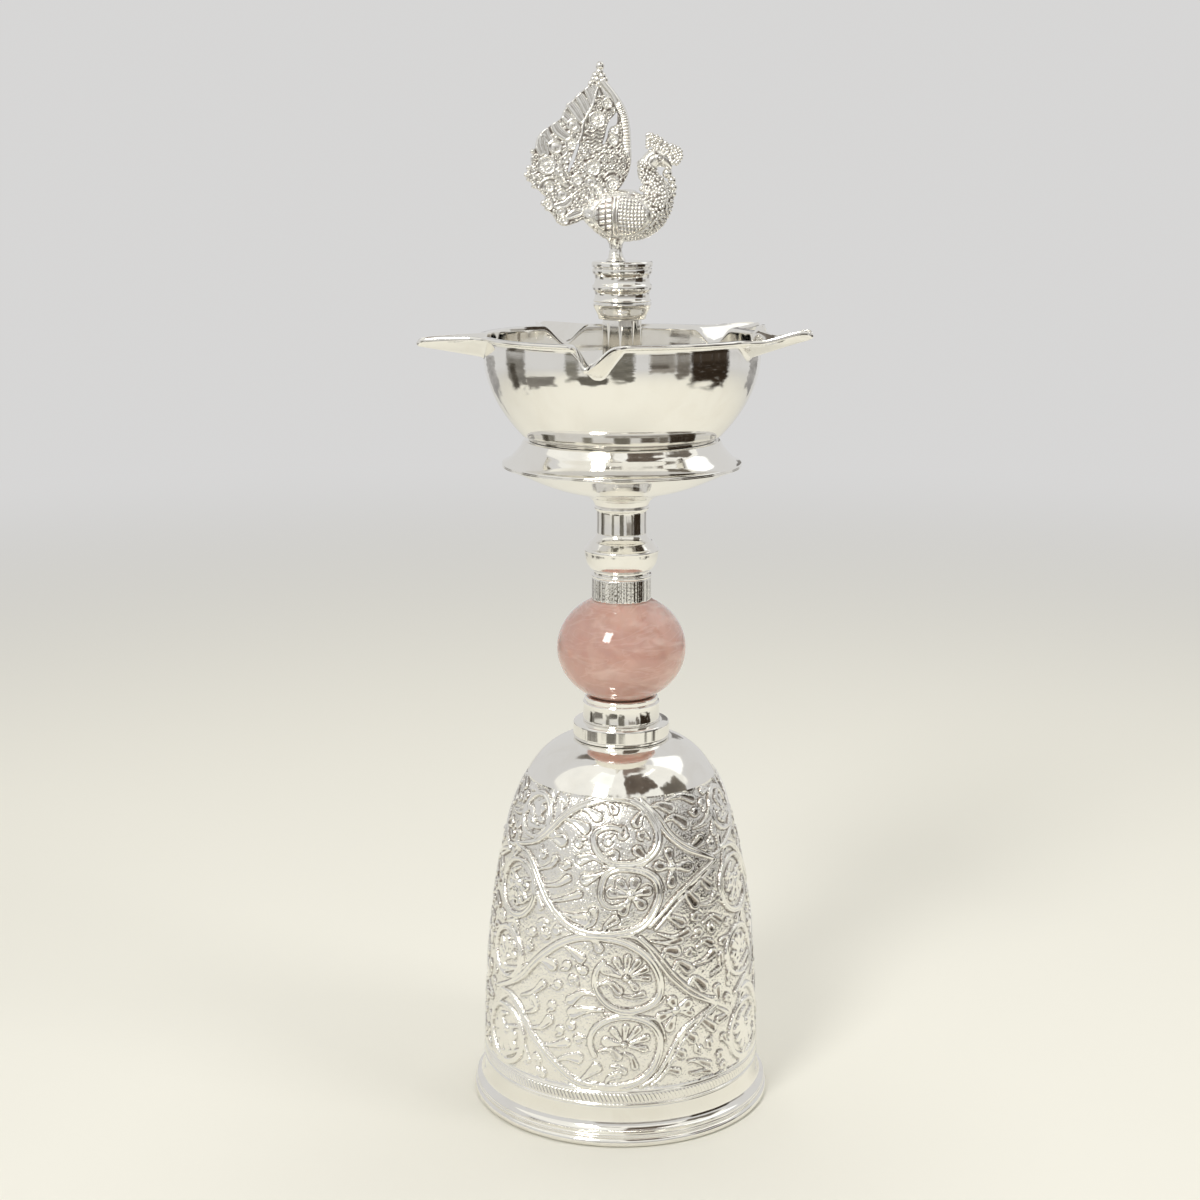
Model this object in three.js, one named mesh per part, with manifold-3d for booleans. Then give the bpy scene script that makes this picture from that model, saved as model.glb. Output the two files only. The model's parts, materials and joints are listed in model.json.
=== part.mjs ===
import * as THREE from 'three';
import { mergeVertices } from 'three/addons/utils/BufferGeometryUtils.js';
import Module from 'manifold-3d';

const wasm = await Module();
wasm.setup();

// A standing oil lamp: a stack of turned pieces on one threaded rod, in millimetres, +Z up.
// Each height below is of one piece alone, and the pieces stack upwards from the foot.

// Facets round the large and the small turned pieces.
const LARGE_SIDES = 32;
const SMALL_SIDES = 20;

// Clearances.
const BORE_GAP = 0.3;
const THREAD_GAP = 0.15;
const TURN_GAP = 0.3;
const SEAT_GAP = 0.3;

// Foot ring.
const FOOT_HEIGHT = 10.3;
const FOOT_LIP_RADIUS = 44.9;
const FOOT_LIP_ROLL = 1.35;
const FOOT_STEP_RADIUS = 44;
const FOOT_STEP_HEIGHT = 4.3;
const FOOT_REST_WIDTH = 2.1;
const SPIGOT_HEIGHT = 2.2;
const SPIGOT_WALL = 1;

// Bell.
const BELL_RADIUS = 41.5;
const BELL_HEIGHT = 100.3;
const BELL_TOP_RADIUS = 14.9;
const BELL_CROWN_POWER = 0.26;
const BELL_WALL = 0.9;

// Rod, nut and washer.
const ROD_RADIUS = 3;
const ROD_BELOW_NUT = 2;
const THREAD_ENGAGEMENT = 6;
const NUT_ACROSS_FLATS = 10;
const NUT_HEIGHT = 5;
const NUT_CHAMFER = 0.6;
const WASHER_RADIUS = 11;
const WASHER_HEIGHT = 1.5;

// Stem.
const COLLAR_RADIUS = 14.3;
const COLLAR_HEIGHT = 5.2;
const COLLAR_EDGE = 0.9;
const SEAT_RADIUS = 11.4;
const SEAT_HEIGHT = 7.4;
const SEAT_RIM_RADIUS = 10.8;
const SEAT_RIM_HEIGHT = 1.7;
const BEAD_RADIUS = 19;
const BEAD_HALF_HEIGHT = 14.4;
const BEAD_FULL_HALF_HEIGHT = 16.3;
const SLEEVE_RADIUS = 8.9;
const SLEEVE_HEIGHT = 7.9;
const SLEEVE_FLUTES = 40;
const SLEEVE_FLUTE_DEPTH = 0.3;
const KNOP_RADIUS = 11;
const KNOP_HEIGHT = 12.1;
const KNOP_FOOT_RADIUS = 9.1;
const KNOP_COVE_RADIUS = 8.2;
const KNOP_COVE_HEIGHT = 1.5;
const KNOP_CREASE_HEIGHT = 7.4;
const NECK_RADIUS = 7.35;
const NECK_HEIGHT = 10.4;
const NECK_RING_RADIUS = 8;
const NECK_RING_HEIGHT = 1.2;
const NECK_TOP_RADIUS = 9.3;

// Drip saucer and skirt.
const DRIP_RADIUS = 34.7;
const DRIP_EDGE = 0.6;
const SAUCER_HEIGHT = 9.8;
const SAUCER_WALL = 1;
const SKIRT_HEIGHT = 7.2;
const SKIRT_TOP_RADIUS = 28.2;
const SKIRT_WALL = 1;
const SKIRT_LEDGE = 7;
const SPACER_RADIUS = 6;

// Oil bowl.
const BOWL_HEIGHT = 30.1;
const BOWL_WALL = 1.2;
const BOWL_RADIUS = 39.7;
const BOWL_FOOT_RADIUS = 29.2;
const BOWL_GROOVE_HEIGHT = 1.8;
const BOWL_BELLY_HEIGHT = 23.2;
const BOWL_BELLY_POWER = 2.08;
const RIM_RADIUS = 41;
const RIM_THICKNESS = 1.6;
const SPOUT_REACH = 58.8;
const SPOUT_TIP_HALF_WIDTH = 1.2;
const SPOUT_TAPER = 0.3;
const TROUGH_DEPTH = 7.3;
const TROUGH_ROUND = 0.18;
const SPOUT_LIP = 0.9;
const TIP_SHARPNESS = 40;
const ROOT_SHARPNESS = 16;

// Each spout is pinched by hand: its heading from the front, in degrees, and its tip's drop below the rim.
const SPOUTS = [
  { heading: -10, tipDrop: 4.2 },
  { heading: 62, tipDrop: 0.6 },
  { heading: 134, tipDrop: 0.4 },
  { heading: 206, tipDrop: 1 },
  { heading: 278, tipDrop: 1.4 },
];

// Centre post, its seal, and the screw socket.
const SEAL_RADIUS = 7.5;
const SEAL_HEIGHT = 1;
const POST_RADIUS = 5.6;
const POST_ABOVE_RIM = 4.2;
const FERRULE_HEIGHT = 4.6;
const FERRULE_FOOT_RADIUS = 6.8;
const FERRULE_TOP_RADIUS = 8.4;
const SOCKET_HEIGHT = 11.4;
const SOCKET_RADIUS = 8.1;
const SOCKET_BAND_RADIUS = 8.4;
const SOCKET_TOP_RADIUS = 8.75;
const PEG_RADIUS = 1.9;
const PEG_OFFSET = -1.8;
const PEG_DEPTH = 3.5;
const PEG_FLARE = 0.9;
const PEG_HEIGHT = 5.7;

// Peacock. The bird faces +X over the socket's axis.
const BODY_SIDES = 16;
const WING_LENGTH = 9;
const WING_HEIGHT = 5.4;
const WING_RELIEF = 0.5;
const STRING_BEAD_RADIUS = 1.15;
const TAIL_THICKNESS = 2.2;
const TAIL_BEVEL = 0.4;
const TAIL_BALL_RADIUS = 1;
const TAIL_EDGE_RADIUS = 0.9;
const CREST_THICKNESS = 2;
const CREST_BEVEL = 0.3;

// Places that follow from the sizes above.
const boreRadius = ROD_RADIUS + BORE_GAP;
const bellBottom = FOOT_HEIGHT;
const bellTop = bellBottom + BELL_HEIGHT;
const washerBottom = bellTop - BELL_WALL - WASHER_HEIGHT;
const nutBottom = washerBottom - NUT_HEIGHT;
const seatBottom = bellTop + COLLAR_HEIGHT;
const beadBottom = seatBottom + SEAT_HEIGHT;
const beadTop = beadBottom + 2 * BEAD_HALF_HEIGHT;
const knopBottom = beadTop + SLEEVE_HEIGHT;
const neckBottom = knopBottom + KNOP_HEIGHT;
const saucerBottom = neckBottom + NECK_HEIGHT;
const skirtBottom = saucerBottom + SAUCER_HEIGHT;
const bowlBottom = skirtBottom + SKIRT_HEIGHT;
const bowlFloor = bowlBottom + BOWL_WALL;
const rimTop = bowlBottom + BOWL_HEIGHT;
const postBottom = bowlFloor + SEAL_HEIGHT;
const postTop = rimTop + POST_ABOVE_RIM;
const ferruleTop = postTop + FERRULE_HEIGHT;
const socketBottom = ferruleTop + TURN_GAP;
const socketTop = socketBottom + SOCKET_HEIGHT;
const birdBase = socketTop + PEG_HEIGHT;

function radians(degrees) {
  return THREE.MathUtils.degToRad(degrees);
}

// Points along an arc, as [radius, height] pairs, from one angle to another in degrees.
function arc(centreRadius, centreHeight, radius, from, to, steps) {
  return Array.from({ length: steps + 1 }, (_, i) => {
    const angle = radians(from + ((to - from) * i) / steps);
    return [centreRadius + radius * Math.cos(angle), centreHeight + radius * Math.sin(angle)];
  });
}

// Points along a smooth curve through the given [radius, height] pairs.
function smooth(pairs, steps) {
  const curve = new THREE.SplineCurve(pairs.map(([x, y]) => new THREE.Vector2(x, y)));
  return curve.getPoints(steps).map((point) => [point.x, point.y]);
}

// The same line moved sideways by a wall's thickness, to the left of its direction.
function beside(pairs, distance) {
  return pairs.map(([x, y], i) => {
    const before = pairs[Math.max(i - 1, 0)];
    const after = pairs[Math.min(i + 1, pairs.length - 1)];
    const along = new THREE.Vector2(after[0] - before[0], after[1] - before[1]).normalize();
    return [x - along.y * distance, y + along.x * distance];
  });
}

// One indexed body of the given corners and triangles, without degenerate faces and facing outwards.
function closedBody(source) {
  const bare = new THREE.BufferGeometry();
  bare.setAttribute('position', source.getAttribute('position').clone());
  if (source.index) bare.setIndex(source.index.clone());
  const merged = mergeVertices(bare, 1e-4);
  const position = merged.getAttribute('position');
  const corner = (i) => new THREE.Vector3().fromBufferAttribute(position, i);
  const kept = [];
  let volume = 0;
  for (let i = 0; i < merged.index.count; i += 3) {
    const [a, b, c] = [0, 1, 2].map((k) => merged.index.getX(i + k));
    if (a === b || b === c || c === a) continue;
    kept.push(a, b, c);
    volume += corner(a).dot(corner(b).cross(corner(c)));
  }
  if (volume < 0) kept.reverse();
  merged.setIndex(kept);
  merged.computeVertexNormals();
  return merged;
}

// A solid turned about the lamp's axis. A profile that doesn't touch the axis closes on itself.
function turned(profile, sides) {
  const onAxis = profile[0][0] === 0 && profile[profile.length - 1][0] === 0;
  const outline = onAxis ? profile : [...profile, profile[0]];
  const points = outline.map(([radius, height]) => new THREE.Vector2(radius, height));
  return closedBody(new THREE.LatheGeometry(points, sides).rotateX(Math.PI / 2));
}

function ringProfile(innerRadius, outerRadius, bottom, top) {
  return [[innerRadius, bottom], [outerRadius, bottom], [outerRadius, top], [innerRadius, top]];
}

// A closed body from a grid of points that wraps round in both directions.
function wrappedGrid(columns) {
  const rows = columns[0].length;
  const points = columns.flat().flat();
  const faces = [];
  columns.forEach((_, i) => {
    const next = ((i + 1) % columns.length) * rows;
    for (let j = 0; j < rows; j += 1) {
      const above = (j + 1) % rows;
      faces.push(i * rows + j, next + j, next + above);
      faces.push(i * rows + j, next + above, i * rows + above);
    }
  });
  const geometry = new THREE.BufferGeometry();
  geometry.setAttribute('position', new THREE.Float32BufferAttribute(points, 3));
  geometry.setIndex(faces);
  return closedBody(geometry);
}

function solid(geometry) {
  const body = closedBody(geometry);
  return new wasm.Manifold(new wasm.Mesh({
    numProp: 3,
    vertProperties: new Float32Array(body.getAttribute('position').array),
    triVerts: new Uint32Array(body.index.array),
  }));
}

function fromSolid(shape) {
  const mesh = shape.getMesh();
  const geometry = new THREE.BufferGeometry();
  geometry.setAttribute('position', new THREE.BufferAttribute(mesh.vertProperties, 3));
  geometry.setIndex(new THREE.BufferAttribute(mesh.triVerts, 1));
  return closedBody(geometry);
}

function footRing() {
  const restInner = FOOT_LIP_RADIUS - FOOT_LIP_ROLL - FOOT_REST_WIDTH;
  const rollCentre = FOOT_LIP_RADIUS - FOOT_LIP_ROLL;
  const spigotRadius = BELL_RADIUS - BELL_WALL - SEAT_GAP;
  const flare = smooth([
    [FOOT_STEP_RADIUS, FOOT_STEP_HEIGHT],
    [FOOT_STEP_RADIUS - 0.7, FOOT_STEP_HEIGHT + (FOOT_HEIGHT - FOOT_STEP_HEIGHT) * 0.5],
    [BELL_RADIUS, FOOT_HEIGHT],
  ], 3);
  const inside = smooth([
    [spigotRadius - SPIGOT_WALL, FOOT_HEIGHT - SPIGOT_WALL],
    [spigotRadius - SPIGOT_WALL * 0.6, FOOT_HEIGHT * 0.5],
    [restInner, 0],
  ], 3);
  return turned([
    ...arc(rollCentre, FOOT_LIP_ROLL, FOOT_LIP_ROLL, -90, 90, 4),
    [FOOT_STEP_RADIUS, 2 * FOOT_LIP_ROLL + 0.6],
    ...flare,
    [spigotRadius, FOOT_HEIGHT],
    [spigotRadius, FOOT_HEIGHT + SPIGOT_HEIGHT],
    [spigotRadius - SPIGOT_WALL, FOOT_HEIGHT + SPIGOT_HEIGHT],
    ...inside,
  ], LARGE_SIDES);
}

// The bell's outline: a tall crown whose radius falls as a power of the height left above it.
function bellOutline(steps) {
  const topShare = (BELL_TOP_RADIUS / BELL_RADIUS) ** (1 / BELL_CROWN_POWER);
  const lastAngle = Math.asin(Math.sqrt(1 - topShare));
  return Array.from({ length: steps + 1 }, (_, i) => {
    const angle = (lastAngle * i) / steps;
    const radius = BELL_RADIUS * (Math.cos(angle) ** 2) ** BELL_CROWN_POWER;
    return [radius, bellBottom + (BELL_HEIGHT * Math.sin(angle)) / Math.sin(lastAngle)];
  });
}

function baseBell() {
  const outside = bellOutline(10);
  const inside = beside(outside, BELL_WALL).slice(1, -1).reverse();
  return turned([
    ...outside,
    [boreRadius, bellTop],
    [boreRadius, bellTop - BELL_WALL],
    [BELL_TOP_RADIUS - BELL_WALL, bellTop - BELL_WALL],
    ...inside,
    [BELL_RADIUS - BELL_WALL, bellBottom],
  ], LARGE_SIDES);
}

function tieRod() {
  const bottom = nutBottom - ROD_BELOW_NUT;
  const top = socketBottom + THREAD_ENGAGEMENT;
  const rod = ringProfile(0, ROD_RADIUS, bottom, top);
  return turned(rod, SMALL_SIDES);
}

function baseNut() {
  const acrossCorners = NUT_ACROSS_FLATS / Math.cos(Math.PI / 6);
  const hexagon = new THREE.CylinderGeometry(acrossCorners / 2, acrossCorners / 2, NUT_HEIGHT, 6);
  const middle = nutBottom + NUT_HEIGHT / 2;
  hexagon.rotateX(Math.PI / 2).translate(0, 0, middle);
  const rounding = turned([
    [0, nutBottom],
    [acrossCorners / 2 - NUT_CHAMFER, nutBottom],
    [acrossCorners / 2, nutBottom + NUT_CHAMFER],
    [acrossCorners / 2, nutBottom + NUT_HEIGHT - NUT_CHAMFER],
    [acrossCorners / 2 - NUT_CHAMFER, nutBottom + NUT_HEIGHT],
    [0, nutBottom + NUT_HEIGHT],
  ], SMALL_SIDES);
  const threadRadius = ROD_RADIUS + THREAD_GAP;
  const hole = turned(ringProfile(0, threadRadius, nutBottom - 1, nutBottom + NUT_HEIGHT + 1), SMALL_SIDES);
  return fromSolid(solid(hexagon).intersect(solid(rounding)).subtract(solid(hole)));
}

function baseWasher() {
  return turned(ringProfile(boreRadius, WASHER_RADIUS, washerBottom, washerBottom + WASHER_HEIGHT), SMALL_SIDES);
}

function lowerCollar() {
  return turned([
    [boreRadius, bellTop],
    [COLLAR_RADIUS - COLLAR_EDGE / 2, bellTop],
    [COLLAR_RADIUS, bellTop + COLLAR_EDGE / 2],
    ...arc(COLLAR_RADIUS - COLLAR_EDGE, seatBottom - COLLAR_EDGE, COLLAR_EDGE, 0, 90, 2),
    [boreRadius, seatBottom],
  ], SMALL_SIDES);
}

// The seat's rim turns in round the foot of the bead, which rests on its flat middle.
function beadSeat() {
  const rimFoot = beadBottom - SEAT_RIM_HEIGHT;
  return turned([
    [boreRadius, seatBottom],
    [SEAT_RADIUS - SEAT_GAP, seatBottom],
    [SEAT_RADIUS, seatBottom + SEAT_GAP],
    ...smooth([[SEAT_RADIUS, rimFoot], [SEAT_RIM_RADIUS, rimFoot + SEAT_RIM_HEIGHT * 0.4],
      [SEAT_RIM_RADIUS, beadBottom]], 3),
    [boreRadius, beadBottom],
  ], SMALL_SIDES);
}

function quartzBead() {
  const flatAngle = THREE.MathUtils.radToDeg(Math.asin(BEAD_HALF_HEIGHT / BEAD_FULL_HALF_HEIGHT));
  const middle = beadBottom + BEAD_HALF_HEIGHT;
  const stretch = BEAD_FULL_HALF_HEIGHT / BEAD_RADIUS;
  const side = arc(0, 0, BEAD_RADIUS, -flatAngle, flatAngle, 10);
  return turned([
    [boreRadius, beadBottom],
    ...side.map(([radius, height]) => [radius, middle + height * stretch]),
    [boreRadius, beadTop],
  ], LARGE_SIDES);
}

// A sleeve with upright flutes, cut from one outline with its bore.
function reededSleeve() {
  const outline = new THREE.Shape();
  const corners = SLEEVE_FLUTES * 2;
  for (let i = 0; i < corners; i += 1) {
    const radius = SLEEVE_RADIUS - (i % 2) * SLEEVE_FLUTE_DEPTH;
    const angle = (i / corners) * 2 * Math.PI;
    const place = [radius * Math.cos(angle), radius * Math.sin(angle)];
    if (i === 0) outline.moveTo(...place);
    else outline.lineTo(...place);
  }
  outline.closePath();
  outline.holes.push(new THREE.Path().absarc(0, 0, boreRadius, 0, 2 * Math.PI));
  const sleeve = new THREE.ExtrudeGeometry(outline, {
    depth: SLEEVE_HEIGHT,
    bevelEnabled: false,
    curveSegments: SMALL_SIDES / 2,
  });
  return closedBody(sleeve.translate(0, 0, beadTop));
}

function knop() {
  const crease = knopBottom + KNOP_CREASE_HEIGHT;
  const bellyFoot = knopBottom + KNOP_COVE_HEIGHT;
  return turned([
    [boreRadius, knopBottom],
    [KNOP_COVE_RADIUS, knopBottom],
    [KNOP_COVE_RADIUS, bellyFoot - 0.4],
    ...smooth([[KNOP_FOOT_RADIUS, bellyFoot], [KNOP_RADIUS - 0.5, bellyFoot + (crease - bellyFoot) * 0.4],
      [KNOP_RADIUS, crease - 0.9], [KNOP_RADIUS - 0.2, crease]], 5),
    ...smooth([[KNOP_RADIUS - 0.6, crease + 0.2], [(KNOP_RADIUS + NECK_RADIUS) / 2, (crease + neckBottom) / 2 + 0.5],
      [NECK_RADIUS, neckBottom]], 4),
    [boreRadius, neckBottom],
  ], SMALL_SIDES);
}

function neck() {
  const ringBottom = saucerBottom - 3 * NECK_RING_HEIGHT;
  return turned([
    [boreRadius, neckBottom],
    [NECK_RADIUS, neckBottom],
    [NECK_RADIUS, ringBottom],
    [NECK_RING_RADIUS, ringBottom + NECK_RING_HEIGHT * 0.3],
    [NECK_RING_RADIUS, ringBottom + NECK_RING_HEIGHT * 0.8],
    [NECK_RADIUS + 0.3, ringBottom + NECK_RING_HEIGHT],
    ...smooth([[NECK_RADIUS + 0.4, ringBottom + NECK_RING_HEIGHT * 1.6],
      [NECK_RING_RADIUS + 0.4, saucerBottom - NECK_RING_HEIGHT * 0.5], [NECK_TOP_RADIUS, saucerBottom]], 3),
    [boreRadius, saucerBottom],
  ], SMALL_SIDES);
}

function dripSaucer() {
  const rise = SAUCER_HEIGHT - DRIP_EDGE;
  const reach = DRIP_RADIUS - NECK_TOP_RADIUS;
  const underside = smooth([
    [NECK_TOP_RADIUS, saucerBottom],
    [NECK_TOP_RADIUS + reach * 0.34, saucerBottom + rise * 0.26],
    [NECK_TOP_RADIUS + reach * 0.74, saucerBottom + rise * 0.67],
    [DRIP_RADIUS, saucerBottom + rise],
  ], 5);
  const inside = beside(underside, SAUCER_WALL).slice(1, -1).reverse();
  return turned([
    [boreRadius, saucerBottom],
    ...underside,
    [DRIP_RADIUS, skirtBottom],
    [DRIP_RADIUS - SKIRT_WALL - DRIP_EDGE, skirtBottom],
    ...inside,
    [NECK_TOP_RADIUS, saucerBottom + SAUCER_WALL],
    [boreRadius, saucerBottom + SAUCER_WALL],
  ], LARGE_SIDES);
}

function dripSkirt() {
  const fall = DRIP_RADIUS - SKIRT_TOP_RADIUS;
  const outside = smooth([
    [DRIP_RADIUS, skirtBottom],
    [SKIRT_TOP_RADIUS + fall * 0.5, skirtBottom + SKIRT_HEIGHT * 0.4],
    [SKIRT_TOP_RADIUS + fall * 0.16, skirtBottom + SKIRT_HEIGHT * 0.72],
    [SKIRT_TOP_RADIUS, bowlBottom],
  ], 5);
  const inside = beside(outside, SKIRT_WALL).slice(1, -1).reverse();
  return turned([
    ...outside,
    [SKIRT_TOP_RADIUS - SKIRT_LEDGE, bowlBottom],
    [SKIRT_TOP_RADIUS - SKIRT_LEDGE, bowlBottom - SKIRT_WALL],
    [SKIRT_TOP_RADIUS - SKIRT_WALL, bowlBottom - SKIRT_WALL],
    ...inside,
    [DRIP_RADIUS - SKIRT_WALL - DRIP_EDGE, skirtBottom],
  ], LARGE_SIDES);
}

function innerSpacer() {
  return turned(ringProfile(boreRadius, SPACER_RADIUS, saucerBottom + SAUCER_WALL, bowlBottom), SMALL_SIDES);
}

// The bowl's outer radius at a height on its belly.
function bellyRadius(height) {
  const left = 1 - (height - bowlBottom - BOWL_GROOVE_HEIGHT) / BOWL_BELLY_HEIGHT;
  return BOWL_RADIUS - (BOWL_RADIUS - BOWL_FOOT_RADIUS) * Math.max(left, 0) ** BOWL_BELLY_POWER;
}

// The drop below the rim of a pinched spout's upper face, at a radius and a sideways offset from its middle.
function spoutDrop(spout, radius, sideways) {
  const mouth = BOWL_RADIUS - BOWL_WALL;
  const along = THREE.MathUtils.clamp((radius - mouth) / (SPOUT_REACH - mouth), 0, 1);
  const floorDrop = THREE.MathUtils.lerp(TROUGH_DEPTH, spout.tipDrop, along);
  const edgeDrop = (spout.tipDrop - SPOUT_LIP) * THREE.MathUtils.smoothstep(along, 0.3, 1);
  const halfWidth = SPOUT_TIP_HALF_WIDTH + (SPOUT_REACH - radius) * SPOUT_TAPER;
  const across = Math.min(Math.abs(sideways) / halfWidth, 1);
  const rounded = (u) => Math.hypot(u, TROUGH_ROUND) - TROUGH_ROUND;
  return THREE.MathUtils.lerp(floorDrop, edgeDrop, rounded(across) / rounded(1));
}

// The rim's outline: a circle drawn out to a blunt beak at each spout, blended where they meet.
function outlineRadius(turn) {
  const beak = (SPOUT_TIP_HALF_WIDTH + SPOUT_REACH * SPOUT_TAPER) / (Math.sin(Math.abs(turn)) + SPOUT_TAPER);
  const blunt = (beak ** -TIP_SHARPNESS + SPOUT_REACH ** -TIP_SHARPNESS) ** (-1 / TIP_SHARPNESS);
  return (blunt ** ROOT_SHARPNESS + RIM_RADIUS ** ROOT_SHARPNESS) ** (1 / ROOT_SHARPNESS);
}

// One upright section of the bowl, at an angle from its nearest spout's middle.
function bowlSection(spout, turn) {
  const heading = radians(spout.heading) + turn;
  const dropBeside = (radius, offset) => spoutDrop(spout, radius, radius * Math.sin(turn) + offset);
  const drop = (radius) => dropBeside(radius, 0);
  const step = 0.05;
  const thickness = (radius) => {
    const alongSlope = (drop(radius + step) - drop(radius - step)) / (2 * step);
    const acrossSlope = (dropBeside(radius, step) - dropBeside(radius, -step)) / (2 * step);
    return RIM_THICKNESS * Math.hypot(1, alongSlope, acrossSlope);
  };
  const outer = outlineRadius(turn);
  const upper = (radius) => [radius, rimTop - drop(radius)];
  const lower = (radius) => [radius, rimTop - drop(radius) - thickness(radius)];
  const innerWall = BOWL_RADIUS - BOWL_WALL;
  const grooveTop = bowlBottom + BOWL_GROOVE_HEIGHT;
  const wallTop = lower(BOWL_RADIUS)[1];
  const outerWall = [0, 0.18, 0.4, 0.66, 1].map((share) => {
    const height = THREE.MathUtils.lerp(grooveTop, wallTop, share);
    return [bellyRadius(height), height];
  });
  const innerBottom = bowlFloor + BOWL_WALL;
  const inside = [1, 0.66, 0.36, 0.12].map((share) => {
    const height = THREE.MathUtils.lerp(innerBottom, rimTop - drop(innerWall), share);
    return [bellyRadius(height) - BOWL_WALL, height];
  });
  const reach = (share) => THREE.MathUtils.lerp(BOWL_RADIUS, outer, share);
  const profile = [
    [boreRadius, bowlBottom],
    [SKIRT_TOP_RADIUS - BOWL_WALL, bowlBottom],
    [SKIRT_TOP_RADIUS - SEAT_GAP, grooveTop - BOWL_WALL / 2],
    ...outerWall,
    ...[0.3, 0.65, 1].map((share) => lower(reach(share))),
    ...[1, 0.65, 0.3].map((share) => upper(reach(share))),
    ...inside,
    [SKIRT_TOP_RADIUS - 3 * BOWL_WALL, bowlFloor],
    [boreRadius, bowlFloor],
  ];
  return profile.map(([radius, height]) => [radius * Math.sin(heading), -radius * Math.cos(heading), height]);
}

// Bowl and spouts in one sheet: the sections crowd together where a spout is pinched.
function oilBowl() {
  const half = [1.3, 3.1, 5.6, 8.8, 13, 21];
  const lastTurn = 180 / SPOUTS.length;
  const turns = [...half.toReversed().map((turn) => -turn), 0, ...half, lastTurn];
  const columns = SPOUTS.flatMap((spout) => turns.map((turn) => bowlSection(spout, radians(turn))));
  return wrappedGrid(columns);
}

function bowlSeal() {
  return turned(ringProfile(boreRadius, SEAL_RADIUS, bowlFloor, postBottom), SMALL_SIDES);
}

function centrePost() {
  return turned(ringProfile(boreRadius, POST_RADIUS, postBottom, postTop), SMALL_SIDES);
}

// The smooth cup under the socket.
function socketFerrule() {
  const flare = smooth([
    [FERRULE_FOOT_RADIUS, postTop],
    [(FERRULE_FOOT_RADIUS + FERRULE_TOP_RADIUS) / 2 - 0.2, postTop + FERRULE_HEIGHT * 0.4],
    [FERRULE_TOP_RADIUS, ferruleTop - 0.6],
    [FERRULE_TOP_RADIUS, ferruleTop],
  ], 5);
  return turned([[boreRadius, postTop], ...flare, [boreRadius, ferruleTop]], SMALL_SIDES);
}

// The ribbed socket screws down the rod on a blind thread, and holds the bird's peg in a hole beside its axis.
function finialSocket() {
  const threadTop = socketBottom + THREAD_ENGAGEMENT + BORE_GAP;
  const at = (share) => socketBottom + SOCKET_HEIGHT * share;
  const body = turned([
    [0, socketBottom],
    [SOCKET_BAND_RADIUS, socketBottom],
    [SOCKET_RADIUS, at(0.12)],
    [SOCKET_RADIUS, at(0.26)],
    [SOCKET_BAND_RADIUS - 0.1, at(0.28)],
    [SOCKET_BAND_RADIUS - 0.1, at(0.4)],
    [SOCKET_RADIUS, at(0.44)],
    [SOCKET_RADIUS, at(0.64)],
    [SOCKET_BAND_RADIUS, at(0.68)],
    [SOCKET_BAND_RADIUS, at(0.82)],
    [SOCKET_RADIUS + 0.1, at(0.84)],
    [SOCKET_TOP_RADIUS, at(0.87)],
    [SOCKET_TOP_RADIUS, at(0.96)],
    [SOCKET_TOP_RADIUS - 0.6, socketTop],
    [0, socketTop],
  ], SMALL_SIDES);
  const thread = turned(ringProfile(0, ROD_RADIUS + THREAD_GAP, socketBottom - 1, threadTop), SMALL_SIDES);
  const pegHole = turned(ringProfile(0, PEG_RADIUS + SEAT_GAP, socketTop - PEG_DEPTH, socketTop + 1), SMALL_SIDES / 2);
  pegHole.translate(PEG_OFFSET, 0, 0);
  return fromSolid(solid(body).subtract(solid(thread)).subtract(solid(pegHole)));
}

// The bird's spine from tail root to beak, from the lowest point of its belly: place, half height, half width.
const SPINE = [
  { x: -11.5, z: 7.6, height: 1.5, width: 1.3 },
  { x: -9, z: 7.5, height: 3.7, width: 3 },
  { x: -5, z: 7.2, height: 6.2, width: 4.6 },
  { x: 0, z: 7.1, height: 7.1, width: 5.2 },
  { x: 4.8, z: 7.5, height: 6.8, width: 5 },
  { x: 8.2, z: 9.3, height: 5.6, width: 4.5 },
  { x: 9.8, z: 12.5, height: 4.3, width: 3.6 },
  { x: 8.3, z: 16.1, height: 2.6, width: 2.5 },
  { x: 6.4, z: 18.9, height: 2.1, width: 2 },
  { x: 6.7, z: 21.7, height: 2.3, width: 2.3 },
  { x: 8.9, z: 23.6, height: 2.3, width: 2.3 },
  { x: 11.2, z: 22.9, height: 1.5, width: 1.4 },
  { x: 13.2, z: 21, height: 0.6, width: 0.5 },
];

// The beads that hang from the beak to the chest.
const STRING_BEADS = [
  { x: 12.7, z: 19.4 },
  { x: 13.6, z: 17.6 },
  { x: 14, z: 15.7 },
  { x: 13.8, z: 13.8 },
];

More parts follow.
